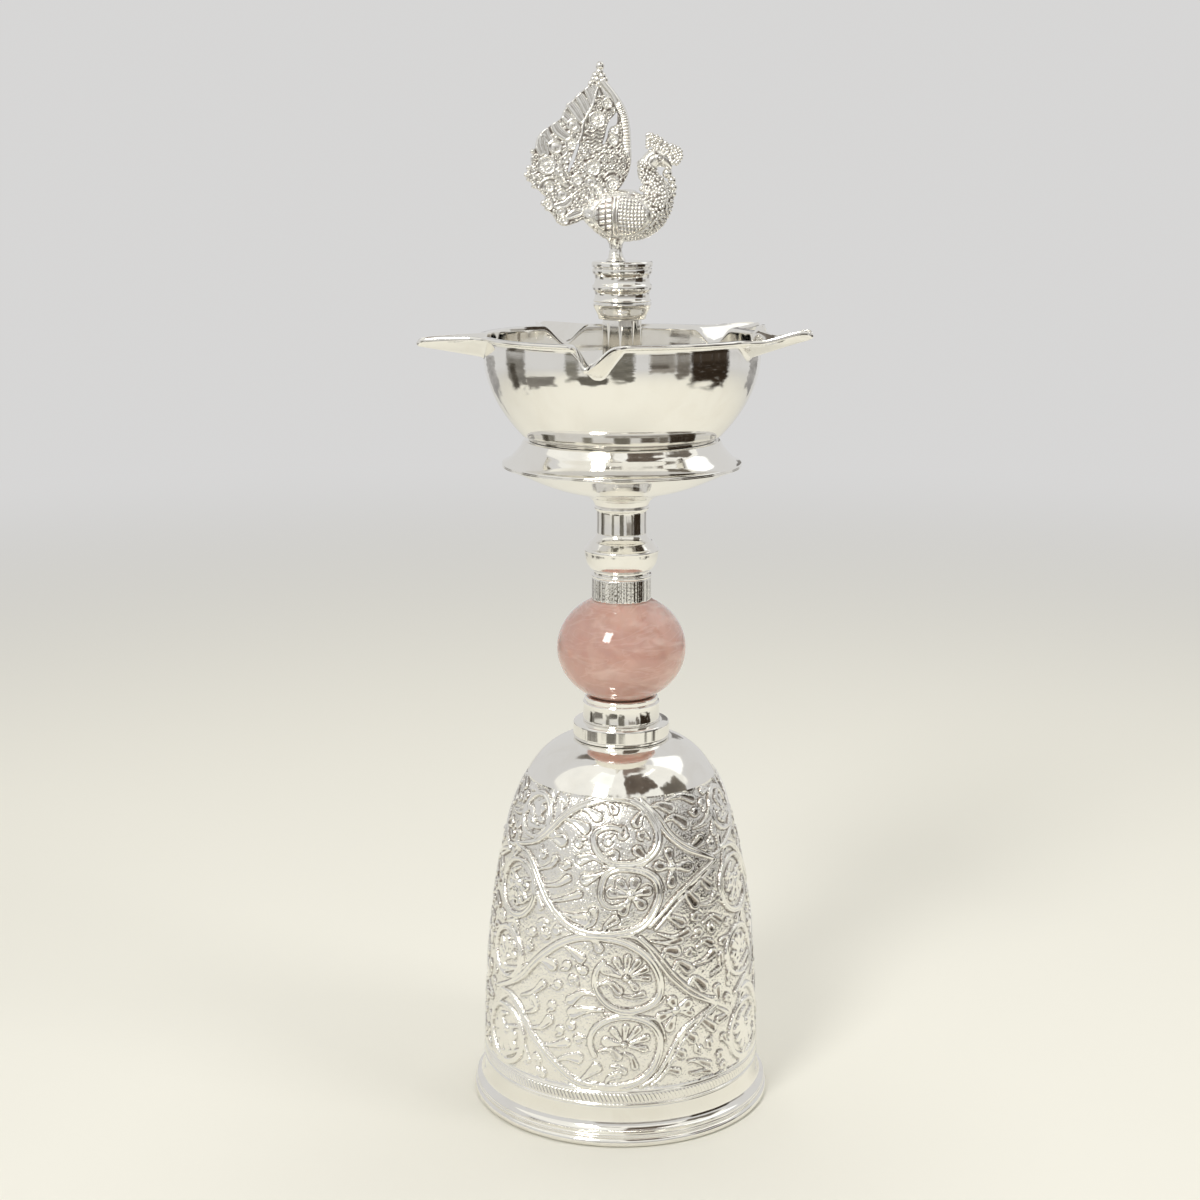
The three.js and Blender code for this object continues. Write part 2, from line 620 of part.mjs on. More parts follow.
// A body lofted over the spine, its sections square to it and made larger by a clearance.
function loftedBird(clearance) {
  const middles = SPINE.map(({ x, z }) => new THREE.Vector3(x, 0, birdBase + z));
  const rings = SPINE.map(({ height, width }, i) => {
    const before = middles[Math.max(i - 1, 0)];
    const after = middles[Math.min(i + 1, middles.length - 1)];
    const along = after.clone().sub(before).normalize();
    const up = new THREE.Vector3(-along.z, 0, along.x);
    return Array.from({ length: BODY_SIDES }, (_, k) => {
      const angle = (k / BODY_SIDES) * 2 * Math.PI;
      const point = middles[i].clone().addScaledVector(up, (height + clearance) * Math.cos(angle));
      return [point.x, (width + clearance) * Math.sin(angle), point.z];
    });
  });
  const points = rings.flat();
  const faces = [];
  for (let i = 0; i + 1 < rings.length; i += 1) {
    for (let k = 0; k < BODY_SIDES; k += 1) {
      const [a, b] = [i * BODY_SIDES + k, i * BODY_SIDES + ((k + 1) % BODY_SIDES)];
      faces.push(a, b, b + BODY_SIDES, a, b + BODY_SIDES, a + BODY_SIDES);
    }
  }
  [0, rings.length - 1].forEach((end) => {
    const centre = points.length;
    points.push(middles[end].toArray());
    for (let k = 0; k < BODY_SIDES; k += 1) {
      const [a, b] = [end * BODY_SIDES + k, end * BODY_SIDES + ((k + 1) % BODY_SIDES)];
      faces.push(...(end === 0 ? [centre, b, a] : [centre, a, b]));
    }
  });
  const geometry = new THREE.BufferGeometry();
  geometry.setAttribute('position', new THREE.Float32BufferAttribute(points.flat(), 3));
  geometry.setIndex(faces);
  return solid(geometry);
}

// A sphere stretched to three half sizes and set at a place on the bird.
function oval(halfSizes, x, z, round, high) {
  const sphere = new THREE.SphereGeometry(1, round, high);
  return solid(sphere.scale(...halfSizes).translate(x, 0, birdBase + z));
}

function peacockBody() {
  const breast = SPINE[3];
  const wing = oval([WING_LENGTH, breast.width + WING_RELIEF, WING_HEIGHT], breast.x - 1, breast.z, 16, 8);
  const beads = STRING_BEADS.map(({ x, z }) => oval(Array(3).fill(STRING_BEAD_RADIUS), x, z, 8, 6));
  return fromSolid(beads.reduce((bird, bead) => bird.add(bead), loftedBird(0).add(wing)));
}

// A flat outline in the XZ plane, given thickness along Y with bevelled edges.
function plate(outline, thickness, bevel) {
  const geometry = new THREE.ExtrudeGeometry(outline, {
    depth: thickness - 2 * bevel,
    bevelEnabled: bevel > 0,
    bevelThickness: bevel,
    bevelSize: bevel,
    bevelOffset: -bevel,
    bevelSegments: 1,
    curveSegments: 2,
  });
  return solid(geometry.rotateX(Math.PI / 2).translate(0, thickness / 2 - bevel, birdBase));
}

// A smooth edge with shallow lobes that bulge to its left.
function scalloped(pairs, lobes, bulge) {
  const stepsPerLobe = 3;
  const line = smooth(pairs, lobes * stepsPerLobe);
  const out = beside(line, bulge);
  return line.map(([x, y], i) => {
    const share = Math.sin((Math.PI * (i % stepsPerLobe)) / stepsPerLobe);
    return [x + (out[i][0] - x) * share, y + (out[i][1] - y) * share];
  });
}

function shapeOf(pairs) {
  return new THREE.Shape(pairs.map(([x, y]) => new THREE.Vector2(x, y)));
}

// A slender cut between two feathers, pointed at both ends, deeper than the tail is thick.
function slit(from, to, width) {
  const along = new THREE.Vector2(to[0] - from[0], to[1] - from[1]);
  const across = new THREE.Vector2(-along.y, along.x).setLength(width / 2);
  const middle = [from[0] + along.x / 2, from[1] + along.y / 2];
  const outline = shapeOf([from, [middle[0] + across.x, middle[1] + across.y], to,
    [middle[0] - across.x, middle[1] - across.y]]);
  return plate(outline, 3 * TAIL_THICKNESS, 0);
}

// The tail's front edge, from its tip down to the bird's back.
const TAIL_FRONT = [[-5.2, 45.4], [-4.5, 44.1], [-0.2, 38.3], [1.8, 33], [2.4, 26], [3, 22], [1, 17.9], [-0.2, 15.2]];

// The tail's back edge, from the root up to the tip.
const TAIL_BACK = [[-11.6, 5.9], [-17, 5], [-21.6, 9.6], [-25.8, 16.5], [-24.8, 24.5], [-20.8, 31], [-16.4, 35.4],
  [-12, 41], [-7.6, 45]];

function peacockTail() {
  const outline = shapeOf([
    ...scalloped(TAIL_BACK, 11, 1.5),
    ...smooth(TAIL_FRONT, 12),
    [-2, 12],
    [-9, 9],
  ]);
  const edgePath = new THREE.CatmullRomCurve3(
    TAIL_FRONT.slice(1, 7).map(([x, z]) => new THREE.Vector3(x - 0.5, 0, birdBase + z)),
  );
  const edgeSection = shapeOf(arc(0, 0, TAIL_EDGE_RADIUS, 0, 315, 7));
  const edge = new THREE.ExtrudeGeometry(edgeSection, { steps: 12, extrudePath: edgePath });
  const eyes = [[26, 20], [60, 18], [88, 20], [112, 22], [46, 9], [86, 10]].map(([angle, distance]) => {
    const [x, z] = [-9 - distance * Math.cos(radians(angle)) * 0.75, 14 + distance * Math.sin(radians(angle))];
    return oval([2.6, TAIL_THICKNESS / 2 + 0.7, 3.2], x, z, 8, 4);
  });
  const balls = [[-6.3, 48.1, 1], [-6.5, 46.3, 1.25]].map(([x, z, share]) => (
    oval(Array(3).fill(TAIL_BALL_RADIUS * share), x, z, 8, 6)
  ));
  const whole = [solid(edge), ...eyes, ...balls].reduce(
    (tail, extra) => tail.add(extra),
    plate(outline, TAIL_THICKNESS, TAIL_BEVEL),
  );
  const slits = [slit([-1.8, 34.6], [-5, 27], 1.3), slit([-12.7, 26], [-15.2, 19], 1.1)];
  return fromSolid([...slits, loftedBird(SEAT_GAP)].reduce((tail, cut) => tail.subtract(cut), whole));
}

function peacockCrest() {
  const outline = shapeOf([
    ...scalloped([[15.4, 21.4], [17.2, 24.2], [13, 26.4], [10.2, 27.9], [7.2, 29.6]].toReversed(), 5, 0.9),
    [11, 22],
    [6.6, 25],
  ]);
  const crest = plate(outline, CREST_THICKNESS, CREST_BEVEL);
  return fromSolid(crest.subtract(loftedBird(SEAT_GAP)));
}

// The peg's foot rests on the socket, and its head is hollowed to the bird's belly.
function finialPeg() {
  const peg = turned([
    [0, socketTop - PEG_DEPTH + SEAT_GAP],
    [PEG_RADIUS, socketTop - PEG_DEPTH + SEAT_GAP],
    [PEG_RADIUS, socketTop],
    [PEG_RADIUS + PEG_FLARE, socketTop],
    [PEG_RADIUS, socketTop + PEG_FLARE],
    [PEG_RADIUS, birdBase - PEG_FLARE],
    [PEG_RADIUS + PEG_FLARE, birdBase + PEG_FLARE],
    [0, birdBase + PEG_FLARE],
  ], SMALL_SIDES / 2);
  peg.translate(PEG_OFFSET, 0, 0);
  return fromSolid(solid(peg).subtract(loftedBird(SEAT_GAP)));
}

function finish(color, roughness, metalness) {
  return new THREE.MeshStandardMaterial({ color, roughness, metalness });
}

const silver = finish(0xe6e2da, 0.12, 1);
const castSilver = finish(0xdedad2, 0.3, 1);
const steel = finish(0xb8b8b6, 0.35, 1);
const roseQuartz = finish(0xd9a59c, 0.15, 0);
const leather = finish(0x6b4a36, 0.8, 0);

const pieces = [
  ['foot_ring', footRing, silver],
  ['base_bell', baseBell, silver],
  ['base_washer', baseWasher, steel],
  ['base_nut', baseNut, steel],
  ['tie_rod', tieRod, steel],
  ['lower_collar', lowerCollar, silver],
  ['bead_seat', beadSeat, silver],
  ['quartz_bead', quartzBead, roseQuartz],
  ['reeded_sleeve', reededSleeve, silver],
  ['knop', knop, silver],
  ['neck', neck, silver],
  ['drip_saucer', dripSaucer, silver],
  ['drip_skirt', dripSkirt, silver],
  ['inner_spacer', innerSpacer, steel],
  ['oil_bowl', oilBowl, silver],
  ['bowl_seal', bowlSeal, leather],
  ['centre_post', centrePost, silver],
  ['socket_ferrule', socketFerrule, silver],
  ['finial_socket', finialSocket, silver],
  ['finial_peg', finialPeg, castSilver],
  ['peacock_body', peacockBody, castSilver],
  ['peacock_tail', peacockTail, castSilver],
  ['peacock_crest', peacockCrest, castSilver],
];

const lamp = new THREE.Group();
pieces.forEach(([name, shape, material]) => {
  const mesh = new THREE.Mesh(shape(), material);
  mesh.name = name;
  lamp.add(mesh);
});

// The lamp stands with the middle of its spread, spout tip to spout tip, over the origin.
const tips = SPOUTS.map(({ heading }) => radians(heading));
const tipX = tips.map((angle) => SPOUT_REACH * Math.sin(angle));
const tipY = tips.map((angle) => -SPOUT_REACH * Math.cos(angle));
lamp.position.set(
  -(Math.max(...tipX) + Math.min(...tipX)) / 2,
  -(Math.max(...tipY) + Math.min(...tipY)) / 2,
  0,
);

export default lamp;
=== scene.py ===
"""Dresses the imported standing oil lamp.

The lamp is a stack of turned, silver-plated pieces on one rod. It has a repoussé bell for a foot, a rose quartz
bead in its stem, an open oil bowl with five pinched spouts and a peacock on a screw socket. Sizes are in
millimetres from the lamp's own axis, and each finished mesh is moved to its place in metres.
"""

import json
import logging
import math
from dataclasses import dataclass
from enum import Enum
from typing import Callable, Optional, Sequence, Union

import bmesh
import bpy
import numpy as np
from mathutils import Matrix, Vector
from mathutils.kdtree import KDTree

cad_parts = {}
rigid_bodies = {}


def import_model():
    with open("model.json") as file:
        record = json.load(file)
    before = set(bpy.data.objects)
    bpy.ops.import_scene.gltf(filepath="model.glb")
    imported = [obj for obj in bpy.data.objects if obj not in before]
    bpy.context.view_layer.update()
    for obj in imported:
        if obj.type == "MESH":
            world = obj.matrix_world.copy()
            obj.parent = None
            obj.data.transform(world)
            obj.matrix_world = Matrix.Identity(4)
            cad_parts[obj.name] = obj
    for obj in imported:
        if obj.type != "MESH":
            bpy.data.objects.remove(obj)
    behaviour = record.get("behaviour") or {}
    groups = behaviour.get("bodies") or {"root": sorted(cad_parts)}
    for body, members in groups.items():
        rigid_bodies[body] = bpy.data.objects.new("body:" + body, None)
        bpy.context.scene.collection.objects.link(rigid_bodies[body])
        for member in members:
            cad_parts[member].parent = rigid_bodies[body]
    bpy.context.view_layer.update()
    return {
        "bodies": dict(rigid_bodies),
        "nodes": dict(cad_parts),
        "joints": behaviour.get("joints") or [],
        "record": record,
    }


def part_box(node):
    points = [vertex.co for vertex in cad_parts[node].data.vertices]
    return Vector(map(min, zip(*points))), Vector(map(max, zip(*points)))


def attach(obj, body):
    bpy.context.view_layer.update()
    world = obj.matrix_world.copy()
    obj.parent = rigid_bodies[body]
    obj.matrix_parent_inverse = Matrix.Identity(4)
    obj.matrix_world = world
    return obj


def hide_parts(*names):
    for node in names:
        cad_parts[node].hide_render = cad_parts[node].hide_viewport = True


MM = 0.001
# Points nearer than this are one. Single-precision heights of 300 mm are exact to a third of it.
WELD = 1e-4
# Columns round a small and a large turned piece.
SMALL, LARGE = 144, 192
# The radius of the hole that the rod runs through.
BORE = 3.3
# How far a place counts as being from the nearest work before anything is worked, and where no line is near.
BARE, NOWHERE = 9.0, 99.0
log = logging.getLogger("lamp")

Point = tuple[float, float]
Colour = tuple[float, float, float]
Values = Union[float, np.ndarray]
Area = Union[slice, np.ndarray]
Mesh = bmesh.types.BMesh
Output = bpy.types.NodeSocket
Socket = Union[Output, float, Sequence[float]]
Inputs = dict[Union[str, int], Socket]


class Body(Enum):
    """The bodies that pieces ride on."""

    STAND = "stand"
    FERRULE = "ferrule"
    FINIAL = "finial"


class Slot(Enum):
    """The record's material slots."""

    TURNED = "turned_silver"
    CHASED = "chased_silver"
    BOWL = "bowl_silver"
    CAST = "cast_silver"
    QUARTZ = "rose_quartz"
    STEEL = "steel"
    LEATHER = "seal_leather"


@dataclass(frozen=True)
class Corner:
    """A corner of a turned profile, in mm: how far out and how high it is, and how far back it is rounded."""

    radius: float
    height: float
    rounding: float = 0.0


@dataclass(frozen=True)
class Label:
    """What a finished piece is called, the CAD node that it stands for, and what it rides on."""

    name: str
    node: str
    body: Body = Body.STAND
    slot: Slot = Slot.TURNED


class PackedFrame:
    """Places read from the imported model."""

    def __init__(self) -> None:
        """Finds the lamp's own axis in the middle of the foot."""
        low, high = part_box("foot_ring")
        self.axis = Vector(((low.x + high.x) / 2, (low.y + high.y) / 2, 0.0))

    def reach(self, node: str) -> tuple[float, float]:
        """Gives the heights of a CAD node's bottom and top, in mm."""
        low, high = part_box(node)
        return low.z / MM, high.z / MM

    def place(self) -> Matrix:
        """Gives the move from millimetres at the lamp's axis to metres in the row frame."""
        return Matrix.Translation(self.axis) @ Matrix.Scale(MM, 4)


def unit(value: Values) -> np.ndarray:
    """Limits a value to between 0 and 1."""
    return np.clip(value, 0.0, 1.0)


def swell(away: Values, width: float, power: int = 2) -> np.ndarray:
    """Gives 1 at no distance, falling away smoothly about a width off."""
    return np.exp(-((away / width) ** power))


def dome(away: Values, power: Values = 0.5) -> np.ndarray:
    """Gives the height of a dome of radius 1, round at a power of a half, and nothing beyond it."""
    return unit(1.0 - away**2) ** power


def run_along(line: np.ndarray) -> np.ndarray:
    """Gives how far each point is along a line, by its first two coordinates."""
    return np.concatenate([[0.0], np.cumsum(np.linalg.norm(np.diff(line[:, :2], axis=0), axis=1))])


def sampled(line: np.ndarray, marks: np.ndarray) -> np.ndarray:
    """Gives a line's points at marked distances along it."""
    run = run_along(line)
    return np.stack([np.interp(marks, run, values) for values in line.T], axis=1)


def swept(reach: Values, turn: Values, height: Values) -> np.ndarray:
    """Gives points by their distance from the axis, their angle round it and their height."""
    reach, turn, height = np.broadcast_arrays(reach, turn, height)
    return np.stack([reach * np.cos(turn), reach * np.sin(turn), height], axis=-1)


def whole_turn(columns: int) -> np.ndarray:
    """Gives the angles of evenly spaced columns round the axis."""
    return np.linspace(0.0, 2 * np.pi, columns, endpoint=False)


def spline(points: Sequence[Sequence[float]], steps: int) -> np.ndarray:
    """Draws a smooth line through points.

    Args:
        points: The points, with any number of coordinates each.
        steps: The number of steps from end to end.

    Returns:
        One more row of coordinates than there are steps.
    """
    known = np.array([points[0], *points, points[-1]], float)
    place = np.arange(steps + 1) / steps * (len(points) - 1)
    index = np.minimum(place.astype(int), len(points) - 2)
    t = (place - index)[:, None]
    a, b, c, d = (known[index + k] for k in range(4))
    return 0.5 * (2 * b + (c - a) * t + (2 * a - 5 * b + 4 * c - d) * t**2 + (3 * b - a - 3 * c + d) * t**3)


def curve(points: Sequence[Point], steps: int, level: float = 0.0) -> list[Corner]:
    """Makes an unrounded run of corners along a smooth line.

    Args:
        points: The (radius, height) pairs that it passes through.
        steps: The number of steps from end to end.
        level: The height that the points' heights count from.

    Returns:
        The corners.
    """
    return [Corner(radius, height + level) for radius, height in spline(points, steps)]


def arc(centre: Point, radius: float, start: float, end: float, steps: int) -> list[Corner]:
    """Makes an unrounded run of corners along an arc.

    Args:
        centre: The arc's centre, as (radius, height).
        radius: The arc's own radius.
        start: The angle that it starts at, in degrees.
        end: The angle that it ends at.
        steps: The number of steps from end to end.

    Returns:
        The corners.
    """
    angles = np.radians(np.linspace(start, end, steps + 1))
    return [Corner(centre[0] + radius * math.cos(a), centre[1] + radius * math.sin(a)) for a in angles]


def supported(corners: Sequence[Corner], closed: bool, support: float = 0.12) -> list[Corner]:
    """Adds a point on each side of a rounded corner, so that its shading doesn't spread over the flats beside it.

    Args:
        corners: The profile's corners.
        closed: Whether the last corner joins the first.
        support: How far past the rounding each point stands.

    Returns:
        The corners and the new points in order.
    """
    made: list[Corner] = []
    count = len(corners)
    for index, corner in enumerate(corners):
        for side in (-1, 1):
            if side == 1:
                made.append(corner)
            other = index + side
            if not corner.rounding or (not closed and not 0 <= other < count):
                continue
            end = corners[other % count]
            away = Vector((end.radius - corner.radius, end.height - corner.height))
            reach = corner.rounding + support
            if away.length > reach + end.rounding + support:
                step = away.normalized() * reach
                made.append(Corner(corner.radius + step.x, corner.height + step.y))
    return made


def turned(corners: Sequence[Corner], columns: int) -> Mesh:
    """Turns a profile about the lamp's axis.

    Args:
        corners: The profile's corners. The last joins the first, unless both are on the axis.
        columns: The number of steps round.

    Returns:
        A closed mesh that faces outwards.
    """
    closed = corners[0].radius > 0.0
    mesh = bmesh.new()
    points = supported(corners, closed)
    verts = [mesh.verts.new((corner.radius, 0, corner.height)) for corner in points]
    for start, end in zip(verts, verts[1:] + verts[:1] if closed else verts[1:]):
        mesh.edges.new((start, end))
    for rounding in sorted({corner.rounding for corner in points if corner.rounding}):
        bmesh.ops.bevel(
            mesh, geom=[vert for vert, corner in zip(verts, points) if corner.rounding == rounding], offset=rounding,
            offset_type="OFFSET", affect="VERTICES", segments=5, profile=0.5, material=-1,
        )
    bmesh.ops.spin(
        mesh, geom=mesh.verts[:] + mesh.edges[:], cent=(0, 0, 0), axis=(0, 0, 1), angle=2 * math.pi, steps=columns,
        use_merge=True,
    )
    bmesh.ops.remove_doubles(mesh, verts=mesh.verts, dist=WELD)
    bmesh.ops.recalc_face_normals(mesh, faces=mesh.faces)
    return mesh


def rolled(
    places: np.ndarray, joined: bool = False, facing: Optional[np.ndarray] = None, raised: Optional[np.ndarray] = None
) -> Mesh:
    """Rolls a grid into a tube whose points are given by row and column.

    Args:
        places: The points, as an array of rows by columns by 3.
        joined: Whether the last row joins the first. If it doesn't, each end row comes together in a pole.
        facing: The direction that each point faces, where the shading has to follow it.
        raised: How bright each point is rubbed, from 1 on raised work down to -0.8 where the patina is deepest. On the
            bell it also carries painted dark reflection, and in the tail's slits painted shade.

    Returns:
        A closed mesh that faces outwards.
    """
    rows, columns, _ = places.shape
    mesh = bmesh.new()
    bmesh.ops.create_grid(mesh, x_segments=columns, y_segments=rows - 1, size=0.5)
    notes = []
    if facing is not None:
        notes.append((mesh.verts.layers.float_vector.new("facing"), facing))
    if raised is not None:
        notes.append((mesh.verts.layers.float.new("raised"), raised))
    for vert in mesh.verts:
        column = round((vert.co.x + 0.5) * columns) % columns
        row = round((vert.co.y + 0.5) * (rows - 1))
        vert.co = places[row, column]
        for layer, values in notes:
            vert[layer] = values[row, column]
    bmesh.ops.remove_doubles(mesh, verts=mesh.verts, dist=WELD)
    if joined:
        bmesh.ops.bridge_loops(mesh, edges=[edge for edge in mesh.edges if edge.is_boundary])
    bmesh.ops.recalc_face_normals(mesh, faces=mesh.faces)
    return mesh


class Graph:
    """A node tree under construction."""

    def __init__(self, tree: bpy.types.NodeTree) -> None:
        """Empties a material's or the world's node tree."""
        self.tree = tree
        tree.nodes.clear()

    @classmethod
    def of_new(cls, name: str) -> tuple[bpy.types.Material, "Graph"]:
        """Makes a material and gives it with its empty tree."""
        material = bpy.data.materials.new(name)
        material.use_nodes = True
        return material, cls(material.node_tree)

    def add(self, kind: str, inputs: Optional[Inputs] = None, **settings: object) -> bpy.types.Node:
        """Adds a node.

        Args:
            kind: The node's type, without the words ShaderNode in front.
            inputs: What each input takes: another node's output, or a value.
            **settings: The node's own properties.

        Returns:
            The node.
        """
        node = self.tree.nodes.new("ShaderNode" + kind)
        for name, value in settings.items():
            setattr(node, name, value)
        for name, value in (inputs or {}).items():
            if isinstance(value, Output):
                self.tree.links.new(value, node.inputs[name])
            else:
                node.inputs[name].default_value = value
        return node

    def math(self, operation: str, first: Socket, second: Socket = 0.0) -> Output:
        """Adds a sum on one or two numbers and gives its result."""
        return self.add("Math", {0: first, 1: second}, operation=operation).outputs[0]

    def times(self, first: Socket, second: Socket) -> Output:
        """Multiplies two numbers."""
        return self.math("MULTIPLY", first, second)

    def plus(self, first: Socket, second: Socket) -> Output:
        """Adds two numbers."""
        return self.math("ADD", first, second)

    def spread(self, value: Socket, low: float, high: float, to_low: float = 0.0, to_high: float = 1.0) -> Output:
        """Maps a range of a number smoothly to another range and gives the result."""
        inputs = {"Value": value, "From Min": low, "From Max": high, "To Min": to_low, "To Max": to_high}
        return self.add("MapRange", inputs, interpolation_type="SMOOTHSTEP").outputs[0]

    def mix(self, share: Socket, first: Socket, second: Socket) -> Output:
        """Blends two colours and gives the result."""
        return self.add("Mix", {0: share, 6: first, 7: second}, data_type="RGBA").outputs[2]

    def where(self) -> Output:
        """Gives the place in metres."""
        return self.add("TexCoord").outputs["Object"]

    def mapped(self, where: Socket, axis: Vector = Vector(), **settings: Sequence[float]) -> Output:
        """Gives the place measured from an axis, turned or stretched as the settings say."""
        return self.add("Mapping", {"Vector": where, "Location": (-axis.x, -axis.y, 0.0), **settings}).outputs[0]

    def noise(self, vector: Socket, scale: float, detail: float = 4.0, rough: float = 0.5, bend: float = 0.0) -> Output:
        """Adds a noise texture and gives its height."""
        inputs = {"Vector": vector, "Scale": scale, "Detail": detail, "Roughness": rough, "Distortion": bend}
        return self.add("TexNoise", inputs).outputs["Fac"]

    def cells(self, vector: Socket, scale: float) -> Output:
        """Adds a cell texture and gives the distance from each cell's middle."""
        return self.add("TexVoronoi", {"Vector": vector, "Scale": scale, "Randomness": 1.0}).outputs["Distance"]

    def bump(self, height: Socket, depth: float, normal: Optional[Socket] = None) -> Output:
        """Bends the shading by a height.

        Args:
            height: A height from 0 to 1.
            depth: What a height of 1 stands for, in mm.
            normal: The shading that it adds to.

        Returns:
            The bent normal.
        """
        inputs: Inputs = {"Height": height, "Distance": depth * MM, "Strength": 1.0}
        if normal is not None:
            inputs["Normal"] = normal
        return self.add("Bump", inputs).outputs[0]


def rgba(colour: Colour) -> tuple[float, float, float, float]:
    """Adds a full alpha to a colour."""
    return (*colour, 1.0)


@dataclass(frozen=True)
class Finish:
    """A procedural material. Each kind says what its shader takes."""

    name: str

    def build(self, axis: Vector) -> bpy.types.Material:
        """Makes the material.

        Args:
            axis: The lamp's axis in metres.

        Returns:
            The material.
        """
        material, graph = Graph.of_new(self.name)
        shader = graph.add("BsdfPrincipled", self.paint(graph, axis))
        graph.add("OutputMaterial", {"Surface": shader.outputs[0]})
        return material

    def paint(self, graph: Graph, axis: Vector) -> dict[str, Socket]:
        """Gives what the shader takes."""
        raise NotImplementedError


@dataclass(frozen=True)
class SilverFinish(Finish):
    """Bright silver plate over brass, with the marks that the lathe or the buff left in it."""

    colour: Colour = (0.93, 0.915, 0.875)
    tarnish: Colour = (0.82, 0.78, 0.71)
    polish: float = 0.045
    dull: float = 0.13
    line_depth: float = 0.0022
    line_pitch: float = 0.5
    line_reach: float = 200.0
    waver_depth: float = 0.02
    waver_size: float = 9.0
    pit_depth: float = 0.0

    def paint(self, graph: Graph, axis: Vector) -> dict[str, Socket]:
        """Smears the polish, and bends the shading by a slow waver, lathe lines and pits."""
        place = graph.mapped(graph.where(), axis)
        lines = self._lathe_lines(graph, place)
        smears = graph.noise(place, 90.0, 5.0, 0.6, 0.8)
        normal = graph.bump(graph.noise(place, 1 / (self.waver_size * MM), 1.0), self.waver_depth)
        normal = graph.bump(lines, self.line_depth, normal)
        if self.pit_depth:
            normal = graph.bump(graph.noise(place, 1800.0, 3.0, 0.65), self.pit_depth, normal)
        worn = graph.times(graph.spread(smears, 0.42, 0.78), 0.35)
        rough = graph.spread(graph.plus(smears, graph.times(lines, 0.2)), 0.35, 0.8, self.polish, self.dull)
        colour = graph.mix(worn, rgba(self.colour), rgba(self.tarnish))
        return {"Base Color": colour, "Metallic": 1.0, "Roughness": rough, "Normal": normal}

    def _lathe_lines(self, graph: Graph, place: Socket) -> Output:
        """Gives a height that changes along the profile and hardly at all round the axis."""
        x, y, z = graph.add("SeparateXYZ", {0: place}).outputs
        out = graph.math("SQRT", graph.plus(graph.times(x, x), graph.times(y, y)))
        pitch = 1 / (self.line_pitch * MM)
        along = graph.add("CombineXYZ", {0: graph.times(out, pitch), 1: graph.times(z, pitch), 2: graph.times(x, 14.0)})
        fade = graph.spread(out, (self.line_reach - 0.7) * MM, self.line_reach * MM, 1.0, 0.08)
        return graph.times(graph.math("SUBTRACT", graph.noise(along.outputs[0], 1.0, 4.0, 0.62), 0.5), fade)


@dataclass(frozen=True)
class ChasedFinish(SilverFinish):
    """Silver that is bright on the raised work, and has punch marks and patina in the ground. The mesh's raised
    attribute also lays painted dark reflection on the bell and painted shade in the tail's slits.
    """

    ground: float = 0.1
    punch_size: float = 0.5
    punch_depth: float = 0.045
    # Also the colour of the painted dark reflection and the painted shade.
    patina: Colour = (0.25, 0.21, 0.175)
    patina_most: float = 0.92

    def paint(self, graph: Graph, axis: Vector) -> dict[str, Socket]:
        """Dulls, punches and darkens the low places that the mesh's raised attribute marks."""
        place = graph.mapped(graph.where(), axis)
        raised = graph.add("Attribute", attribute_name="raised").outputs["Fac"]
        low = graph.spread(raised, 0.42, 0.08)
        punched = graph.times(graph.spread(graph.cells(place, 1 / (self.punch_size * MM)), 0.1, 0.6), low)
        normal = graph.bump(graph.noise(place, 1 / (self.waver_size * MM), 2.0), self.waver_depth)
        normal = graph.bump(punched, self.punch_depth, normal)
        normal = graph.bump(graph.noise(place, 1500.0, 3.0, 0.6), self.pit_depth, normal)
        smears = graph.noise(place, 160.0, 5.0, 0.6, 0.6)
        hollow = graph.times(low, graph.spread(smears, 0.3, 0.7, 0.0, 0.25))
        cover = graph.spread(smears, 0.25, 0.6, 0.4 * self.patina_most, self.patina_most)
        # Where the raised attribute runs below zero, this lays patina, and also the bell's painted dark reflection and
        # the tail slits' painted shade.
        patina = graph.times(graph.spread(raised, -0.1, -0.8), cover)
        colour = graph.mix(patina, graph.mix(hollow, rgba(self.colour), rgba(self.tarnish)), rgba(self.patina))
        rough = graph.plus(graph.spread(smears, 0.35, 0.8, self.polish, self.dull), graph.times(low, self.ground))
        return {"Base Color": colour, "Metallic": 1.0, "Roughness": rough, "Normal": normal}


@dataclass(frozen=True)
class QuartzFinish(Finish):
    """Polished rose quartz: milky, cloudy and faintly veined on the level."""

    deep: Colour = (0.61, 0.365, 0.305)
    middle: Colour = (0.68, 0.43, 0.36)
    cloud: Colour = (0.78, 0.56, 0.49)

    def paint(self, graph: Graph, axis: Vector) -> dict[str, Socket]:
        """Lays level bands and veins over clouds, in stone that light enters a little way."""
        where = graph.where()
        level = graph.mapped(where, axis, Rotation=(0.12, -0.2, 0.0), Scale=(1.0, 1.0, 3.2))
        clouds = graph.noise(where, 75.0, 5.0, 0.55, 1.2)
        bands = graph.noise(level, 80.0, 5.0, 0.5, 0.9)
        veins = graph.math("ABSOLUTE", graph.math("SUBTRACT", graph.noise(level, 48.0, 3.0, 0.5, 1.4), 0.5))
        colour = graph.mix(graph.spread(clouds, 0.38, 0.66), rgba(self.deep), rgba(self.middle))
        colour = graph.mix(graph.spread(bands, 0.5, 0.72, 0.0, 0.75), colour, rgba(self.cloud))
        colour = graph.mix(graph.times(graph.spread(veins, 0.0, 0.03, 1.0, 0.0), 0.3), colour, rgba(self.cloud))
        return {
            "Base Color": colour, "Roughness": graph.spread(clouds, 0.3, 0.7, 0.04, 0.09), "IOR": 1.55,
            "Subsurface Weight": 0.55, "Subsurface Radius": (1.0, 0.55, 0.45), "Subsurface Scale": 0.004,
            "Coat Weight": 0.35, "Coat Roughness": 0.03,
        }


